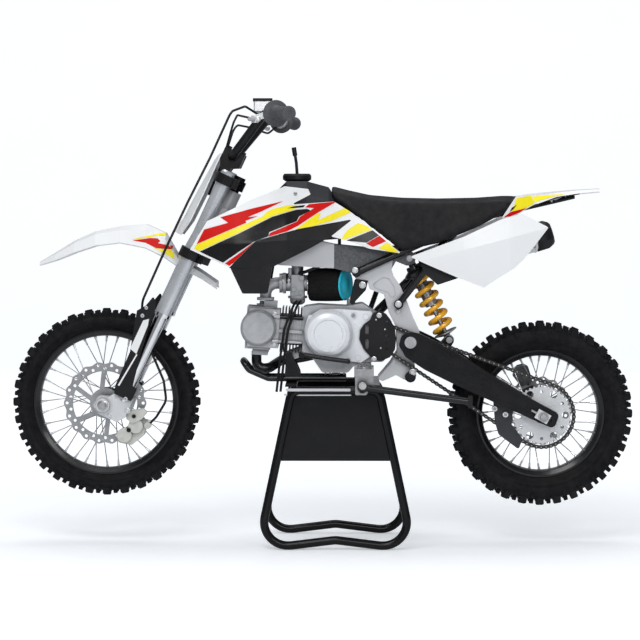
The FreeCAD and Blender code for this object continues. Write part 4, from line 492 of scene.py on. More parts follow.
def film(shape, tree, outline_mm, look, side):
    """One stripe. Its outline is (x, z) in millimetres, pressed on along Y."""
    outline = metres(outline_mm)
    edge = dense(outline)
    flat, faces = triangles(edge, grid_inside(outline, edge))
    spots = [film_hit(tree, x, z, side) for x, z in flat]
    near = {}
    for face in faces:
        for i in face:
            near.setdefault(i, set()).update(face)
    placed = list(spots)
    for i, spot in enumerate(spots):
        held = [j for j in near.get(i, ()) if spots[j] is not None]
        if spot is None and held:
            placed[i] = last_hit(tree, Vector(flat[held[0]]), Vector(flat[i]), side, spots[held[0]])
    kept = []
    for face in faces:
        if all(placed[i] is not None for i in face) and any(spots[i] is not None for i in face):
            kept.append(face)
    used = sorted({i for f in kept for i in f})
    order = {i: k for k, i in enumerate(used)}
    shape.add([placed[i] for i in used], [[order[i] for i in f] for f in kept], look)


def films(name, node_name, body, stripes):
    """Stripes on both sides of a node, each a look and an outline."""
    shape = Shape()
    tree = node_tree(node_name)
    for side in (LEFT, RIGHT):
        for look, outline in stripes:
            film(shape, tree, outline, look, side)
    shape.piece(name, body)


SHROUD_STRIPES = [
    ("red_film", [
        (-319, 780), (-300, 817), (-239, 834), (-259, 848), (-179, 870), (-99, 889), (-133, 873),
        (-154, 863), (-190, 848), (-163, 851), (-195, 839), (-193, 834)]),
    ("yellow_film", [
        (-326, 770), (-319, 779), (-193, 832), (-153, 849), (-142, 860), (-127, 869), (-90, 877),
        (-62, 879), (-85, 872), (-65, 869), (-127, 851), (-147, 841), (-215, 807), (-281, 777),
        (-313, 762)]),
    ("black_film", [
        (-311, 761), (-281, 775), (-215, 805), (-147, 839), (-127, 849), (-66, 867), (-39, 869), (-29, 865),
        (-59, 850), (-65, 838), (-135, 810), (-136, 800), (-172, 787), (-207, 764), (-252, 733)]),
    ("red_film", [(-247, 731), (-232, 723), (-173, 785), (-213, 755)]),
    ("red_film", [
        (-136, 799), (-133, 808), (-64, 837), (-57, 849), (-21, 871), (-44, 873), (-34, 881), (37, 888),
        (-14, 858), (-62, 826), (-90, 812)]),
    ("black_film", [(-89, 870), (-76, 875), (-44, 879), (-48, 873)]),
    ("yellow_film", [
        (-69, 816), (-14, 856), (-3, 858), (-12, 840), (60, 872), (72, 860), (22, 838), (-39, 821)]),
    ("yellow_film", [(48, 791), (62, 813), (91, 833), (111, 827), (127, 816), (61, 793)]),
    ("black_film", [(61, 788), (129, 815), (149, 804), (113, 783)]),
    ("red_film", [(112, 781), (150, 803), (169, 789), (129, 772)]),
    ("yellow_film", [(143, 770), (167, 784), (196, 758), (173, 759)]),
]

TAIL_STRIPES = [
    ("yellow_film", [
        (494, 890), (517, 899), (562, 902), (626, 908), (599, 902), (562, 892), (546, 886), (534, 882),
        (489, 866)]),
    ("red_film", [(464, 848), (487, 865), (534, 875), (515, 861), (493, 855)]),
]

FENDER_STRIPES = [
    ("yellow_film", [
        (-494, 789), (-468, 796), (-417, 806), (-388, 810), (-388, 803), (-430, 799), (-443, 796)]),
    ("red_film", [
        (-488, 788), (-443, 794), (-424, 793), (-417, 786), (-424, 781), (-386, 773), (-388, 765),
        (-428, 768), (-454, 782)]),
    ("yellow_film", [(-437, 771), (-426, 767), (-384, 764), (-381, 740), (-408, 755)]),
]

GUARD_FILMS_AND_HIGHLIGHT = [
    ("white_film_and_highlight", [(-457, 585), (-442, 589), (-445, 572), (-475, 499), (-491, 513)]),
    # The narrow tapering strip below is a painted highlight along the guard's rounded edge.
    ("white_film_and_highlight", [(-475, 499), (-472, 497), (-519, 417), (-523, 419)]),
]


def stripes():
    films("shroud_stripes", "side_shrouds", "chassis", SHROUD_STRIPES)
    films("tail_stripes", "rear_fender", "chassis", TAIL_STRIPES)
    films("fender_stripes", "front_fender", "steering", FENDER_STRIPES)
    films("guard_films_and_highlight", "fork_guards", "steering", GUARD_FILMS_AND_HIGHLIGHT)


# Wheels

LUG_ROWS = 32
LUG_CHAMFER = 0.0012
SPOKES_PER_SIDE = 18
SPOKE_CROSS = radians(40.0)
SPOKE_R = 0.0013
SPOKE_HOLES_R = 0.032
SPOKE_STAGGER = 0.0022
NIPPLE_LENGTH = 0.015


def lug(shape, centre, angle, y0, y1, lean, low_r, high_r, length):
    """Tread block with chamfered edges. It leans sideways towards its top."""
    out = outward(angle)
    along = Vector((-sin(angle), 0.0, cos(angle)))

    def ring(radius, grow, shift):
        a, b, h = y0 - grow + shift, y1 + grow + shift, length / 2 + grow
        c = LUG_CHAMFER
        corners = [(a + c, -h), (b - c, -h), (b, -h + c), (b, h - c),
                   (b - c, h), (a + c, h), (a, h - c), (a, -h + c)]
        return [centre + out * radius + across(y) + along * t for y, t in corners]

    rise = high_r - low_r
    shape.skin([ring(low_r, 0.0008, 0.0), ring(low_r + rise * 0.35, 0.0, lean * 0.35),
                ring(high_r - LUG_CHAMFER, -0.0004, lean), ring(high_r, -0.0016, lean)], "tyre_rubber",
               caps=(False, True))


def moulding_hair(shape, foot, side):
    """Short rubber thread that points outwards from the wall."""
    reach = Vector((random.uniform(-0.4, 0.4), side * random.uniform(0.5, 1.0), random.uniform(-0.4, 0.4)))
    shape.lathe(foot, reach, [(-0.002, 0.0005), (random.uniform(0.002, 0.005), 0.0003)], "tyre_rubber", 4)


def tyre(end, centre, tip_r, lug_height, half_width, rim_r, rim_half):
    """Tyre with ribbed walls and four sizes of tread block. Radii are from the axle."""
    crown = tip_r - lug_height
    wall = crown - rim_r
    seat = rim_half - 0.0036
    side = [(seat, rim_r - 0.0094), (seat, rim_r + 0.0008), (seat + 0.003, rim_r + 0.0022),
            (seat + 0.0045, rim_r + 0.0062), (half_width * 0.84, rim_r + wall * 0.25),
            (half_width * 0.935, rim_r + wall * 0.48), (half_width * 0.95, rim_r + wall * 0.66),
            (half_width * 0.90, crown - 0.0105), (half_width * 0.74, crown - 0.0058),
            (half_width * 0.50, crown - 0.0020), (half_width * 0.25, crown - 0.0004)]
    section = [(-y, r) for y, r in side] + [(0.0, crown)] + [(y, r) for y, r in reversed(side)]
    shape = Shape()
    shape.hoop(centre, section, "tyre_rubber", 192)
    for s in (LEFT, RIGHT):
        for share, proud in ((0.36, 0.0010), (0.42, 0.0007)):
            y, r = s * half_width * (0.84 + 0.095 * (share - 0.25) / 0.23), rim_r + wall * share
            rib = [(y - s * 0.002, r - 0.0012), (y + s * proud, r - 0.0006), (y + s * proud, r + 0.0006),
                   (y - s * 0.002, r + 0.0012)]
            shape.hoop(centre, rib, "tyre_rubber", 160)
    pitch = 2 * pi / LUG_ROWS
    length = pitch * crown * 0.42
    # Turn in pitches, inner and outer edge, lean in half widths, foot and top radius, share of the length
    blocks = [(0.0, 0.0010, half_width * 0.30, 0.0, crown - 0.002, tip_r, 1.0),
              (0.0, half_width * 0.46, half_width * 0.84, 0.14, crown - 0.012, tip_r - 0.005, 1.0),
              (0.5, half_width * 0.32, half_width * 0.58, 0.04, crown - 0.006, tip_r - 0.0045, 0.62),
              (0.5, half_width * 0.80, half_width * 0.952, 0.02, crown - 0.019, crown - 0.0065, 0.55)]
    for angle in full_turn(LUG_ROWS):
        for s in (LEFT, RIGHT):
            for shift, inner, outer, lean, low_r, high_r, part in blocks:
                y0, y1 = sorted((s * inner, s * outer))
                lug(shape, centre, angle + shift * pitch, y0, y1, s * lean * half_width, low_r, high_r,
                    length * part)
            for shift in (-0.30, 0.24):
                out = outward(angle + shift * pitch)
                foot = centre + out * (crown - 0.006) + across(s * half_width * 0.93)
                moulding_hair(shape, foot, s)
    shape.piece(end + "_tyre_tread", end + "_wheel", (end + "_tyre",), 40.0)


def wheel_spokes(end, centre, flange_y, half, rim_inner_r):
    """Hub, laced spokes with bent heads, and stepped nipples."""
    flange_r, wall, barrel = 0.036, 0.005, 0.019
    low, high = flange_y - wall / 2, flange_y + wall / 2
    shape = Shape()
    profile = [(low - 0.008, barrel), (low - 0.002, barrel + 0.006), (low, flange_r - 0.001),
               (low + 0.001, flange_r), (high - 0.001, flange_r), (high, flange_r - 0.001),
               (high + 0.001, flange_r - 0.008), (high + 0.005, barrel + 0.002),
               (half - 0.001, barrel + 0.002), (half, barrel + 0.001), (half, 0.0085)]
    profile = [(-y, r) for y, r in reversed(profile)] + profile
    shape.hoop(centre, profile, "black_alloy", 64)
    step = 2 * pi / SPOKES_PER_SIDE
    tip_r = rim_inner_r - 0.0005
    for side in (LEFT, RIGHT):
        for k in range(SPOKES_PER_SIDE):
            rim_angle = step * k + (step / 2 if side > 0 else 0.0)
            leading = 1 if k % 2 == 0 else -1
            hub_y = side * flange_y + leading * SPOKE_STAGGER
            foot = centre + outward(rim_angle + leading * SPOKE_CROSS) * SPOKE_HOLES_R + across(hub_y)
            tip = centre + outward(rim_angle) * tip_r + across(side * 0.004)
            along = (tip - foot).normalized()
            neck = tip - along * NIPPLE_LENGTH
            head = foot + across(-leading * 0.0045)
            bend = foot - across(leading * 0.001)
            shape.tube([head, bend, foot + along * 0.003, neck], SPOKE_R, "steel", 8)
            shape.lathe(head, across(-leading), [(-0.0005, 0.0022), (0.0006, 0.0024), (0.0014, 0.0012)],
                        "steel", 10)
            shape.lathe(neck, along, [(-0.001, 0.0016), (0.0, 0.0026), (0.010, 0.0026), (0.0105, 0.0032),
                                      (0.0155, 0.0034)], "bright_alloy", 8)
    shape.piece(end + "_wheel_spokes", end + "_wheel", (end + "_hub_and_spokes",), 40.0)


def wheels():
    tyre("front", front_axle, tip_r=0.244, lug_height=0.011, half_width=0.034, rim_r=0.1885, rim_half=0.020)
    tyre("rear", rear_axle, tip_r=0.2405, lug_height=0.013, half_width=0.042, rim_r=0.166, rim_half=0.026)
    wheel_spokes("front", front_axle, flange_y=0.024, half=0.058, rim_inner_r=0.172)
    wheel_spokes("rear", rear_axle, flange_y=0.028, half=0.071, rim_inner_r=0.1495)


# Chain

CHAIN_Y = -0.063
CHAIN_LINKS = 100
CHAIN_PITCH = 0.0127
SPROCKET_TEETH = (14, 41)
LINK_END_R = 0.0053
LINK_WAIST = 0.0037
LINK_PLATE = 0.0012
OUTER_LINK_Y = 0.0044
INNER_LINK_Y = 0.0030


def chain_joints():
    """Pin places round the two sprockets and along the two straight runs."""
    a, b = middle_of("front_sprocket"), rear_axle.copy()
    a.y = b.y = 0.0
    ra, rb = [CHAIN_PITCH / (2 * sin(pi / teeth)) for teeth in SPROCKET_TEETH]
    reach = (b - a).length
    slope = atan2(a.z - b.z, b.x - a.x)
    spread_angle = asin((rb - ra) / reach)
    run = reach * cos(spread_angle)
    wrap_a, wrap_b = ra * (pi - 2 * spread_angle), rb * (pi + 2 * spread_angle)
    total = 2 * run + wrap_a + wrap_b
    up = slope - spread_angle
    back = up + pi + 2 * spread_angle

    def side_of(turn):
        return Vector((sin(turn), 0.0, cos(turn)))

    joints = []
    for i in range(CHAIN_LINKS):
        s = total * i / CHAIN_LINKS
        if s < run:
            place = a + side_of(up) * ra + outward(-up) * s
        elif s < run + wrap_b:
            place = b + side_of(up + (s - run) / rb) * rb
        elif s < 2 * run + wrap_b:
            place = b + side_of(back) * rb + outward(-back) * (s - run - wrap_b)
        else:
            place = a + side_of(back + (s - 2 * run - wrap_b) / ra) * ra
        joints.append(place)
    return joints


def link_outline(p, q):
    """Waisted link plate round two pins."""
    heading = (q - p).normalized()
    rise = Vector((-heading.z, 0.0, heading.x))
    points = []
    for centre, way in ((q, 1), (p, -1)):
        for k in range(7):
            a = radians(-75 + 25 * k)
            points.append(centre + turned(heading, rise, a) * LINK_END_R * way)
        points.append((p + q) / 2 + rise * LINK_WAIST * way)
    return [(point.x, point.z) for point in points]


def chain():
    """Two link plates, a pin and a roller for every joint. Inner and outer links take turns."""
    joints = chain_joints()
    shape = Shape()
    for i, p in enumerate(joints):
        q = joints[(i + 1) % CHAIN_LINKS]
        outline = link_outline(p, q)
        gap = OUTER_LINK_Y if i % 2 == 0 else INNER_LINK_Y
        for s in (LEFT, RIGHT):
            y = CHAIN_Y + s * gap
            shape.slab(outline, y, y + s * LINK_PLATE, "chain_steel", 0.0003)
        pin = p + across(CHAIN_Y - 0.0064)
        shape.lathe(pin, across(1.0), [(0.0, 0.0013), (0.0004, 0.0018), (0.0124, 0.0018), (0.0128, 0.0013)],
                    "steel", 8)
        roller = p + across(CHAIN_Y - 0.0030)
        shape.lathe(roller, across(1.0), [(0.0, 0.0036), (0.0060, 0.0036)], "steel", 12)
    shape.piece("chain_of_links", "chassis", ("drive_chain",))


# Handlebar

GRIP_RIBS = 11
GRIP_RIB_PITCH = 0.0074
GRIP_LENGTH = 0.112


def grips():
    """Rubber grips with a flange at the inner end and ribs along them."""
    shape = Shape()
    for side in (LEFT, RIGHT):
        bar_end = Vector((-0.080, side * 0.376, 1.102))
        bar_bend = Vector((-0.146, side * 0.170, 1.109))
        along = (bar_end - bar_bend).normalized()
        start = bar_end - along * GRIP_LENGTH
        profile = [(0.0, 0.0113), (0.0, 0.0300), (0.0012, 0.0322), (0.0030, 0.0334), (0.0048, 0.0322),
                   (0.0060, 0.0300), (0.0072, 0.0225), (0.0100, 0.0200), (0.0160, 0.0178)]
        for k in range(GRIP_RIBS):
            t = 0.0185 + GRIP_RIB_PITCH * k
            profile += [(t, 0.0160), (t + 0.0010, 0.0172), (t + 0.0044, 0.0172), (t + 0.0054, 0.0160)]
        profile += [(0.1035, 0.0160), (0.1045, 0.0180), (0.1140, 0.0182), (0.1158, 0.0170),
                    (0.1160, 0.0085), (0.1150, 0.0080), (0.1150, 0.0030)]
        shape.lathe(start, along, profile, "grip_rubber", 40)
    shape.piece("grips_ribbed", "steering", ("grips",), 50.0)


# Seat

SEAT_REAR_EDGE = [(402, 700), (403, 826), (446, 841), (467, 857), (480, 876), (493, 897), (505, 900)]
SEAT_VOXEL = 0.005
SEAT_PRESSURE = 4.0
SEAT_FRAMES = 20
SEAT_SWELL = 0.006


def seat_underside(x):
    """Lowest height of the seat near its rear end, where the tail's sides come up."""
    x_mm = x / MM
    if x_mm < SEAT_REAR_EDGE[0][0]:
        return 0.0
    for (x0, z0), (x1, z1) in zip(SEAT_REAR_EDGE, SEAT_REAR_EDGE[1:]):
        if x_mm <= x1:
            return (z0 + (z1 - z0) * (x_mm - x0) / (x1 - x0)) * MM
    return SEAT_REAR_EDGE[-1][1] * MM


def apply_modifier(modifier):
    bpy.ops.object.modifier_apply(modifier=modifier.name)


def puff_up(thing, low_z):
    """Blows the cover up by cloth pressure. Its underside is held."""
    pinned = thing.vertex_groups.new(name="pinned")
    held = [v.index for v in thing.data.vertices if v.normal.z < -0.35 or v.co.z < low_z + 0.02]
    pinned.add(held, 1.0, "REPLACE")
    cloth = thing.modifiers.new("cloth", "CLOTH")
    cloth.settings.use_pressure = True
    cloth.settings.uniform_pressure_force = SEAT_PRESSURE
    cloth.settings.effector_weights.gravity = 0.0
    cloth.settings.vertex_group_mass = "pinned"
    for number in range(1, SEAT_FRAMES + 1):
        scene.frame_set(number)
    apply_modifier(cloth)
    scene.frame_set(1)


def seat():
    """Foam seat under a tight cover: the plain solid, puffed a little by cloth pressure."""
    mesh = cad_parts["seat"].data.copy()
    mesh.name = "seat_cushion"
    thing = new_object("seat_cushion", mesh)
    low, _ = box_of("seat")
    remesh = thing.modifiers.new("remesh", "REMESH")
    remesh.mode = "VOXEL"
    remesh.voxel_size = SEAT_VOXEL
    bpy.context.view_layer.objects.active = thing
    thing.select_set(True)
    apply_modifier(remesh)
    for vert in thing.data.vertices:
        vert.co.z = max(vert.co.z, seat_underside(vert.co.x))
    rest = [v.co.copy() for v in thing.data.vertices]
    puff_up(thing, low.z)
    for vert, before in zip(thing.data.vertices, rest):
        move = vert.co - before
        if move.length > SEAT_SWELL:
            vert.co = before + move * (SEAT_SWELL / move.length)
    relax = thing.modifiers.new("relax", "SMOOTH")
    relax.factor = 0.5
    relax.iterations = 6
    apply_modifier(relax)
    finer = thing.modifiers.new("finer", "SUBSURF")
    finer.levels = finer.render_levels = 1
    apply_modifier(finer)
    thing.data.materials.clear()
    thing.data.materials.append(mats["seat_cover"])
    shade_smooth(thing.data)
    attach(thing, "chassis")
    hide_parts("seat")
    thing.select_set(False)


# Bolts and small fittings, each on the face that carries it

def face_at(node_name, x_mm, z_mm, side):
    """Point on a node's side, straight in from the left or the right."""
    place, _ = ray_from_side(node_tree(node_name), x_mm * MM, z_mm * MM, side)
    return place


def fasteners(name, node_name, body, kind, look, places, sides=(LEFT,)):
    """Bolt heads at (x, z, head radius) in millimetres."""
    shape = Shape()
    for side in sides:
        for x, z, radius in places:
            head = shape.hex_bolt if kind == "hex" else shape.socket_bolt
            head(face_at(node_name, x, z, side), across(side), radius * MM, look)
    shape.piece(name, body)


def bolts():
    both = (LEFT, RIGHT)
    fasteners("cover_bolts", "engine_side_covers", "chassis", "socket", "steel", [(80, 596, 5.0)])
    fasteners("guard_cover_bolts", "chain_guards", "chassis", "hex", "bright_alloy",
              [(146, 596, 5.2), (133, 484, 5.0)])
    fasteners("guide_bolts", "chain_guards", "chassis", "socket", "bright_alloy",
              [(443, 356, 7.5), (471, 341, 7.5)])
    fasteners("roller_bolt", "chain_guards", "chassis", "hex", "bright_alloy", [(233, 449, 7.0)])
    fasteners("head_bolts", "engine_cylinder_head", "chassis", "hex", "bright_alloy",
              [(-124, 598, 5.0), (-124, 520, 5.0)])
    fasteners("frame_bolts", "main_frame", "chassis", "hex", "bright_alloy", [(195, 604, 6.0)], both)
    fasteners("stay_bolts", "subframe", "chassis", "hex", "bright_alloy",
              [(84, 712, 6.0), (195, 625, 6.5)], both)
    fasteners("peg_bolt", "footpegs", "chassis", "hex", "dark_steel", [(103, 415, 8.5)], both)
    fasteners("shroud_screws", "side_shrouds", "chassis", "socket", "steel", [(-69, 908, 5.0)], both)
    fasteners("guard_bolts", "fork_guards", "steering", "socket", "bright_alloy",
              [(-459, 597, 5.0), (-449, 617, 4.6), (-503, 384, 5.2)], both)
    fasteners("foot_bolts", "fork_feet", "steering", "hex", "bright_alloy",
              [(-500, 352, 5.5), (-545, 340, 4.5)])
    fasteners("caliper_caps", "front_brake_caliper", "steering", "socket", "black_plastic",
              [(-484, 337, 5.0), (-498, 301, 5.5)])


def axle_ends():
    """Washers and hexagon heads over both axles, and the adjuster blocks on the swingarm."""
    fork_face, arm_face, block_face = 0.1125, 0.110, 0.1165
    shape = Shape()
    for side in (LEFT, RIGHT):
        place = front_axle + across(side * fork_face)
        washer = [(-0.003, 0.0175), (0.0012, 0.0175), (0.002, 0.0165), (0.002, 0.012)]
        shape.lathe(place, across(side), washer, "bright_alloy", 36)
        shape.hex_bolt(place + across(side * 0.0015), across(side), 0.0105, "steel")
    shape.piece("front_axle_ends", "steering")
    blocks = Shape()
    arm_way = (rear_axle - Vector((0.2255, 0.0, 0.528))).normalized()
    rise = Vector((-arm_way.z, 0.0, arm_way.x))
    for side in (LEFT, RIGHT):
        outline = []
        for a, b in ((-0.020, -0.013), (0.016, -0.013), (0.016, 0.013), (-0.020, 0.013)):
            corner = rear_axle + arm_way * a + rise * b
            outline.append((corner.x, corner.z))
        blocks.slab(outline, side * arm_face, side * block_face, "bright_alloy", 0.001)
        blocks.hex_bolt(rear_axle + across(side * block_face), across(side), 0.0095, "steel")
        stud = rear_axle + arm_way * -0.019 + across(side * 0.1125)
        blocks.tube([stud, stud - arm_way * 0.016], 0.003, "steel", 10)
    blocks.piece("chain_adjusters", "chassis")


def cover_marks():
    """Slots and small holes of the sprocket cover, where bare metal shows through."""
    shape = Shape()
    for x, z, long_mm, wide_mm in ((114, 559, 12, 5), (114, 528, 12, 5), (161, 560, 4, 4), (164, 543, 4, 4),
                                   (163, 527, 4, 4), (150, 512, 4, 4), (138, 585, 4, 4)):
        place = face_at("chain_guards", x, z, LEFT)
        if place is None:
            continue
        outline = []
        for a in full_turn(16):
            stretch = (long_mm - wide_mm) / 2 * (1 if sin(a) > 0 else -1)
            outline.append((place.x + cos(a) * wide_mm / 2 * MM,
                            place.z + (sin(a) * wide_mm / 2 + stretch) * MM))
        shape.slab(outline, place.y + 0.001, place.y - 0.0006, "sprocket_alloy", 0.0002)
    shape.piece("cover_marks", "chassis")


# Filter, spring and silencer

def air_filter():
    """Pleated foam drum whose coloured end plate turns a little towards the left."""
    front, back = Vector((-0.0377, 0.0, 0.672)), Vector((0.058, 0.0, 0.672))
    end_tilt = radians(27.0)
    shape = Shape()

    def ring(share, radius, pleats, push=0.0):
        tilt = end_tilt * share
        normal = Vector((cos(tilt), -sin(tilt), 0.0))
        across = Vector((sin(tilt), cos(tilt), 0.0))
        middle = front.lerp(back, share) + normal * push
        points = []
        for a in full_turn(96):
            r = radius * (1.0 + pleats * cos(24 * a))
            points.append(middle + across * cos(a) * r + Vector((0.0, 0.0, sin(a) * r)))
        return points

    shape.skin([ring(0.0, 0.020, 0.0), ring(0.0, 0.030, 0.0), ring(0.03, 0.0385, 0.0),
                ring(0.09, 0.042, 0.005), ring(0.2, 0.0425, 0.014), ring(0.5, 0.0428, 0.016),
                ring(0.82, 0.0425, 0.014), ring(0.94, 0.0415, 0.004), ring(0.97, 0.0405, 0.0)],
               "filter_foam")
    rim = [ring(0.97, 0.0402, 0.0), ring(1.0, 0.0412, 0.0), ring(1.0, 0.0412, 0.0, 0.0020)]
    shape.skin(rim, "black_plastic")
    plate = ((0.0411, 0.0019), (0.0400, 0.0035), (0.0350, 0.0045), (0.0335, 0.0030), (0.0150, 0.0034),
             (0.0135, 0.0046), (0.0020, 0.0050))
    shape.skin([ring(1.0, radius, 0.0, push) for radius, push in plate], "cyan_plastic")
    shape.lathe(front + Vector((-0.002, 0.0, 0.0)), REARWARD,
                [(0.0, 0.0245), (0.0, 0.0262), (0.008, 0.0262), (0.008, 0.0245)], "steel", 40)
    shape.piece("air_filter_drum", "chassis", ("air_filter",), 50.0)


def shock_spring():
    """Coil of round wire between two discs."""
    along = (shock_top - shock_low).normalized()
    side = across(1.0)
    other = along.cross(side)
    turns, start, end, coil_r, wire_r = 6.0, 0.026, 0.184, 0.0245, 0.0063
    points = []
    for k in range(int(turns * 28) + 1):
        a = 2 * pi * k / 28
        t = start + (end - start) * k / (turns * 28)
        points.append(shock_low + along * t + turned(side, other, a) * coil_r)
    shape = Shape()
    shape.tube(points, wire_r, "gold_paint", 14)
    shape.piece("shock_coil", "chassis", ("shock_spring",), 60.0)
    seats = Shape()
    for t in (start - 0.007, end + 0.003):
        disc = [(0.0, 0.012), (0.0, 0.0285), (0.001, 0.0300), (0.003, 0.0300), (0.004, 0.0285),
                (0.004, 0.012)]
        seats.lathe(shock_low + along * t, along, disc, "dark_steel", 40)
    seats.piece("spring_seats", "chassis", smooth_deg=40.0)


def silencer():
    """Round can with a bead at each end and an angular cap with a deep outlet."""
    inlet, outlet = Vector((0.322, 0.148, 0.716)), Vector((0.602, 0.167, 0.802))
    along = (outlet - inlet).normalized()
    shape = Shape()
    body = [(0.0, 0.013), (0.0, 0.022), (0.004, 0.0245), (0.026, 0.0365), (0.030, 0.0372),
            (0.034, 0.0365), (0.040, 0.0368), (0.240, 0.0368), (0.244, 0.0378), (0.250, 0.0378),
            (0.253, 0.0368), (0.275, 0.0368)]
    shape.lathe(inlet, along, body, "bright_alloy", 56)
    side = across(1.0)
    other = side.cross(along).normalized()
    rings = []
    cap = ((0.262, 0.034, -0.30), (0.262, 0.0395, -0.30), (0.264, 0.0405, -0.30), (0.286, 0.0405, -0.05),
           (0.299, 0.0330, 0.0), (0.304, 0.0260, 0.0), (0.305, 0.0150, 0.0), (0.275, 0.0140, 0.0),
           (0.275, 0.0010, 0.0))
    for t, r, slope in cap:
        ring = []
        for turn in full_turn(8):
            a = turn + pi / 8
            up = sin(a) * r
            ring.append(inlet + along * (t + up * slope) + side * cos(a) * r + other * up)
        rings.append(ring)
    shape.skin(rings, "black_plastic")
    for turn in full_turn(6):
        way = turned(side, other, turn + 0.4)
        rivet = [(-0.001, 0.003), (0.0008, 0.003), (0.0016, 0.0018)]
        shape.lathe(inlet + along * 0.247 + way * 0.0376, way, rivet, "steel", 12)
    shape.piece("silencer_can", "chassis", ("silencer",), 32.0)


def intake_boot():
    """Rubber joint between the manifold and the carburettor, with its two clamps."""
    shape = Shape()
    place = Vector((-0.108, 0.0, 0.680))
    shape.lathe(place, REARWARD, [(0.0, 0.0150), (0.0, 0.0205), (0.002, 0.0215), (0.024, 0.0215),
                                        (0.026, 0.0205), (0.026, 0.0150)], "black_plastic", 36)
    for t in (0.004, 0.018):
        shape.lathe(place + Vector((t, 0.0, 0.0)), REARWARD,
                    [(0.0, 0.0212), (0.0, 0.0224), (0.005, 0.0224), (0.005, 0.0212)], "steel", 36)
        shape.hex_bolt(place + Vector((t + 0.0025, -0.0235, 0.004)), across(-1.0), 0.0032, "bright_alloy")
    shape.piece("intake_boot", "chassis", smooth_deg=35.0)


def filter_bracket():
    """Black plate that ties the back of the engine to the frame behind the filter."""
    shape = Shape()
    outline = [(70, 628), (84, 683), (92, 688), (118, 684), (112, 660), (77, 622)]
    for side in (LEFT, RIGHT):
        shape.slab(metres(outline), side * 0.050, side * 0.0545, "black_paint", 0.0008)
        shape.hex_bolt(Vector((0.1035, side * 0.0545, 0.6735)), across(side), 0.0068, "bright_alloy")
    shape.piece("filter_bracket", "chassis")


def stand_highlight_strips():
    """Light grey strips along the top of the stand's side plates: painted highlights on the glossy black
    stand.
    """
    shape = Shape()
    for side in (LEFT, RIGHT):
        for z0, z1, x0, x1 in ((407, 414, -92, 72), (395, 400, -97, 74)):
            place = face_at("paddock_stand", (x0 + x1) / 2, (z0 + z1) / 2, side)
            outline = metres([(x0, z0), (x1, z0), (x1, z1), (x0, z1)])
            shape.slab(outline, place.y - side * 0.0005, place.y + side * 0.0016, "frame_paint", 0.0005)
    shape.piece("stand_highlight_strips", "chassis")


TAIL_FLANK = [(458, 846), (494, 900), (533, 906), (545, 882), (525, 871), (504, 857), (479, 848)]
TAIL_FLANK_FILMS = [
    ("yellow_film", [(484, 862), (496, 896), (533, 904), (543, 883), (524, 873), (503, 865)]),
    ("black_film", [(478, 861), (484, 872), (497, 880), (489, 869)]),
    ("red_film", [(463, 848), (480, 861), (523, 872), (504, 860), (479, 850)]),
]
TAIL_FRONT_X = 0.458
TAIL_FRONT_Y = 0.098
TAIL_TAPER = 0.22
TAIL_FLANK_WALL = 0.002


def tail_flanks():
    """Sides of the tail between the seat's end and the rear side panels."""
    shape = Shape()

    def on_flank(x, z, side, lift):
        return x, side * (TAIL_FRONT_Y - (x - TAIL_FRONT_X) * TAIL_TAPER + lift), z

    for side in (LEFT, RIGHT):
        rows = []
        for lift in (-TAIL_FLANK_WALL, 0.0):
            rows.append([on_flank(x, z, side, lift) for x, z in metres(TAIL_FLANK)])
        shape.skin(rows, "white_plastic")
        for number, (look, outline) in enumerate(TAIL_FLANK_FILMS):
            lift = 0.0004 + 0.0002 * number
            flat, faces = triangles(metres(outline), [])
            shape.add([on_flank(x, z, side, lift) for x, z in flat], faces, look)
    shape.piece("tail_flanks", "chassis")


# Second looks on single faces of the solids

def second_looks():
    """Gives a second look to the faces of a solid that lie beyond a plane."""
    damper_way = (shock_top - shock_low).normalized()
    damper_body, liner_end = 0.150, 0.660
    fins_low, fins_high = 0.522, 0.583
    web_front, web_low = 0.030, 0.722
    reservoir_low, carburettor_cap, chain_guide = 1.150, 0.728, 0.40

    def is_liner(centre, normal):
        """Underside and lower edge of the tail, up to its white tip."""
        edge_z = 0.8764 + (centre.x - 0.526) * 0.245
        return centre.x < liner_end and (normal.z < -0.3 or centre.z < edge_z)

    paint("rear_shock", "black_paint", lambda c, n: (c - shock_low).dot(damper_way) > damper_body)
    paint("engine_cylinder", "black_paint", lambda c, n: c.z > fins_high or c.z < fins_low)
    paint("rear_fender", "black_plastic", is_liner)
    # Painted shade: the frame's side faces high up, under the shroud and seat, get a darker colour.
    paint("main_frame", "painted_shade_frame", lambda c, n: c.x > web_front and c.z > web_low and abs(n.y) > 0.4)
    paint("hand_controls", "black_plastic", lambda c, n: c.z > reservoir_low)
    paint("chain_guards", "tank_plastic", lambda c, n: c.x > chain_guide)
    paint("carburettor", "black_plastic", lambda c, n: c.z > carburettor_cap)


stripes()
wheels()
chain()
grips()
seat()
bolts()
axle_ends()
cover_marks()
air_filter()
shock_spring()
silencer()
intake_boot()
filter_bracket()
stand_highlight_strips()
tail_flanks()
second_looks()


# Stage, camera and light

def seen_only(tree, source):
    """Keeps a glow for what the picture shows, so that it lights nothing else."""
    path = tree.nodes.new("ShaderNodeLightPath")
    product = tree.nodes.new("ShaderNodeMath")
    product.operation = "MULTIPLY"
    tree.links.new(source, product.inputs[0])
    tree.links.new(path.outputs["Is Camera Ray"], product.inputs[1])
    return product.outputs[0]


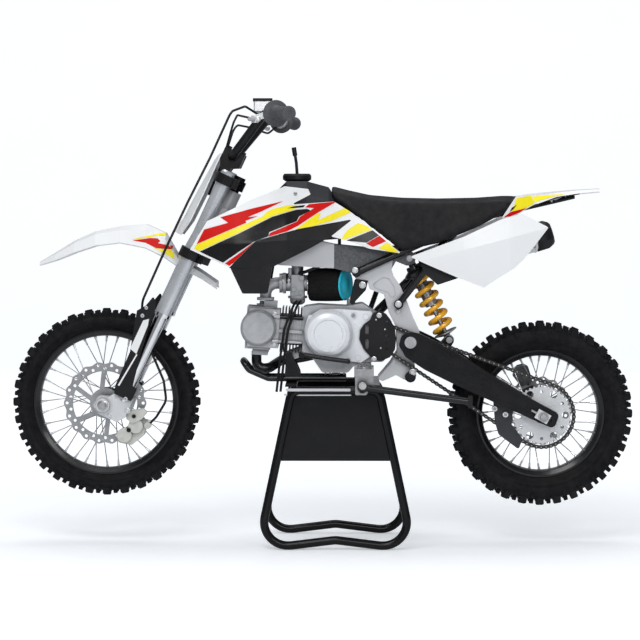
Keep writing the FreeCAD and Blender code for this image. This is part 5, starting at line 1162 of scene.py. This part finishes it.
def floor_and_backdrop():
    """Pale floor that curves up behind. It glows a little away from the bike."""
    reach, front, back, turn, height = 14.0, -9.0, 9.0, 2.0, 9.0
    rows = [(front, 0.0), (back - turn, 0.0)]
    steps = 12
    for i in range(1, steps + 1):
        a = pi / 2 * i / steps
        rows.append((back - turn + turn * sin(a), turn - turn * cos(a)))
    rows.append((back, height))
    verts = [(x, y, z) for y, z in rows for x in (-reach, reach)]
    faces = [(2 * i, 2 * i + 1, 2 * i + 3, 2 * i + 2) for i in range(len(rows) - 1)]
    mesh = bpy.data.meshes.new("floor")
    mesh.from_pydata(verts, [], faces)
    shade_smooth(mesh)
    floor = new_object("floor", mesh)
    material = varied("floor_paint", (0.84, 0.86, 0.89), (0.86, 0.88, 0.91), (0.44, 0.56), scale=3.0)
    tree = material.node_tree
    shader = tree.nodes["Principled BSDF"]
    shader.inputs["Emission Color"].default_value = (0.95, 0.98, 1.0, 1.0)
    coords = tree.nodes.new("ShaderNodeTexCoord")
    place_of = tree.nodes.new("ShaderNodeSeparateXYZ")
    tree.links.new(coords.outputs["Object"], place_of.inputs["Vector"])
    distance = tree.nodes.new("ShaderNodeMath")
    distance.operation = "ABSOLUTE"
    tree.links.new(place_of.outputs["Y"], distance.inputs[0])
    glow = spread(tree, distance.outputs["Value"], 0.34, 0.70, 0.4, 3.2)
    tree.links.new(seen_only(tree, glow.outputs["Result"]), shader.inputs["Emission Strength"])
    mesh.materials.append(material)


def area_light(name, place, target, size, power):
    data = bpy.data.lights.new(name, "AREA")
    data.shape = "RECTANGLE"
    data.size, data.size_y = size
    data.energy = power
    lamp = new_object(name, data)
    lamp.location = place
    lamp.rotation_euler = (Vector(target) - Vector(place)).to_track_quat("-Z", "Y").to_euler()


def lights():
    area_light("key_light", (-1.2, -3.2, 4.2), (0.0, 0.0, 0.6), size=(3.0, 1.6), power=92.0)
    area_light("fill_light", (0.7, -4.0, 1.9), (0.0, 0.0, 0.5), size=(2.6, 1.0), power=46.0)
    area_light("top_light", (0.0, 0.6, 4.4), (0.0, 0.0, 0.5), size=(4.0, 2.0), power=70.0)
    world = bpy.data.worlds.new("studio")
    world.use_nodes = True
    background = world.node_tree.nodes["Background"]
    background.inputs["Color"].default_value = (0.93, 0.96, 1.0, 1.0)
    path = world.node_tree.nodes.new("ShaderNodeLightPath")
    strength = spread(world.node_tree, path.outputs["Is Camera Ray"], 0.30, 0.98, 0.0, 1.0)
    world.node_tree.links.new(strength.outputs["Result"], background.inputs["Strength"])
    scene.world = world


def camera():
    data = bpy.data.cameras.new("camera")
    data.sensor_width = 36.0
    data.lens = 125.5
    data.clip_end = 60.0
    view = new_object("camera", data)
    view.location = (0.0377, -5.8, 0.897)
    pitch, yaw = radians(3.13), radians(0.437)
    view.rotation_euler = (radians(90.0) - pitch, 0.0, yaw)
    scene.camera = view
    scene.view_settings.view_transform = "Standard"


floor_and_backdrop()
lights()
camera()
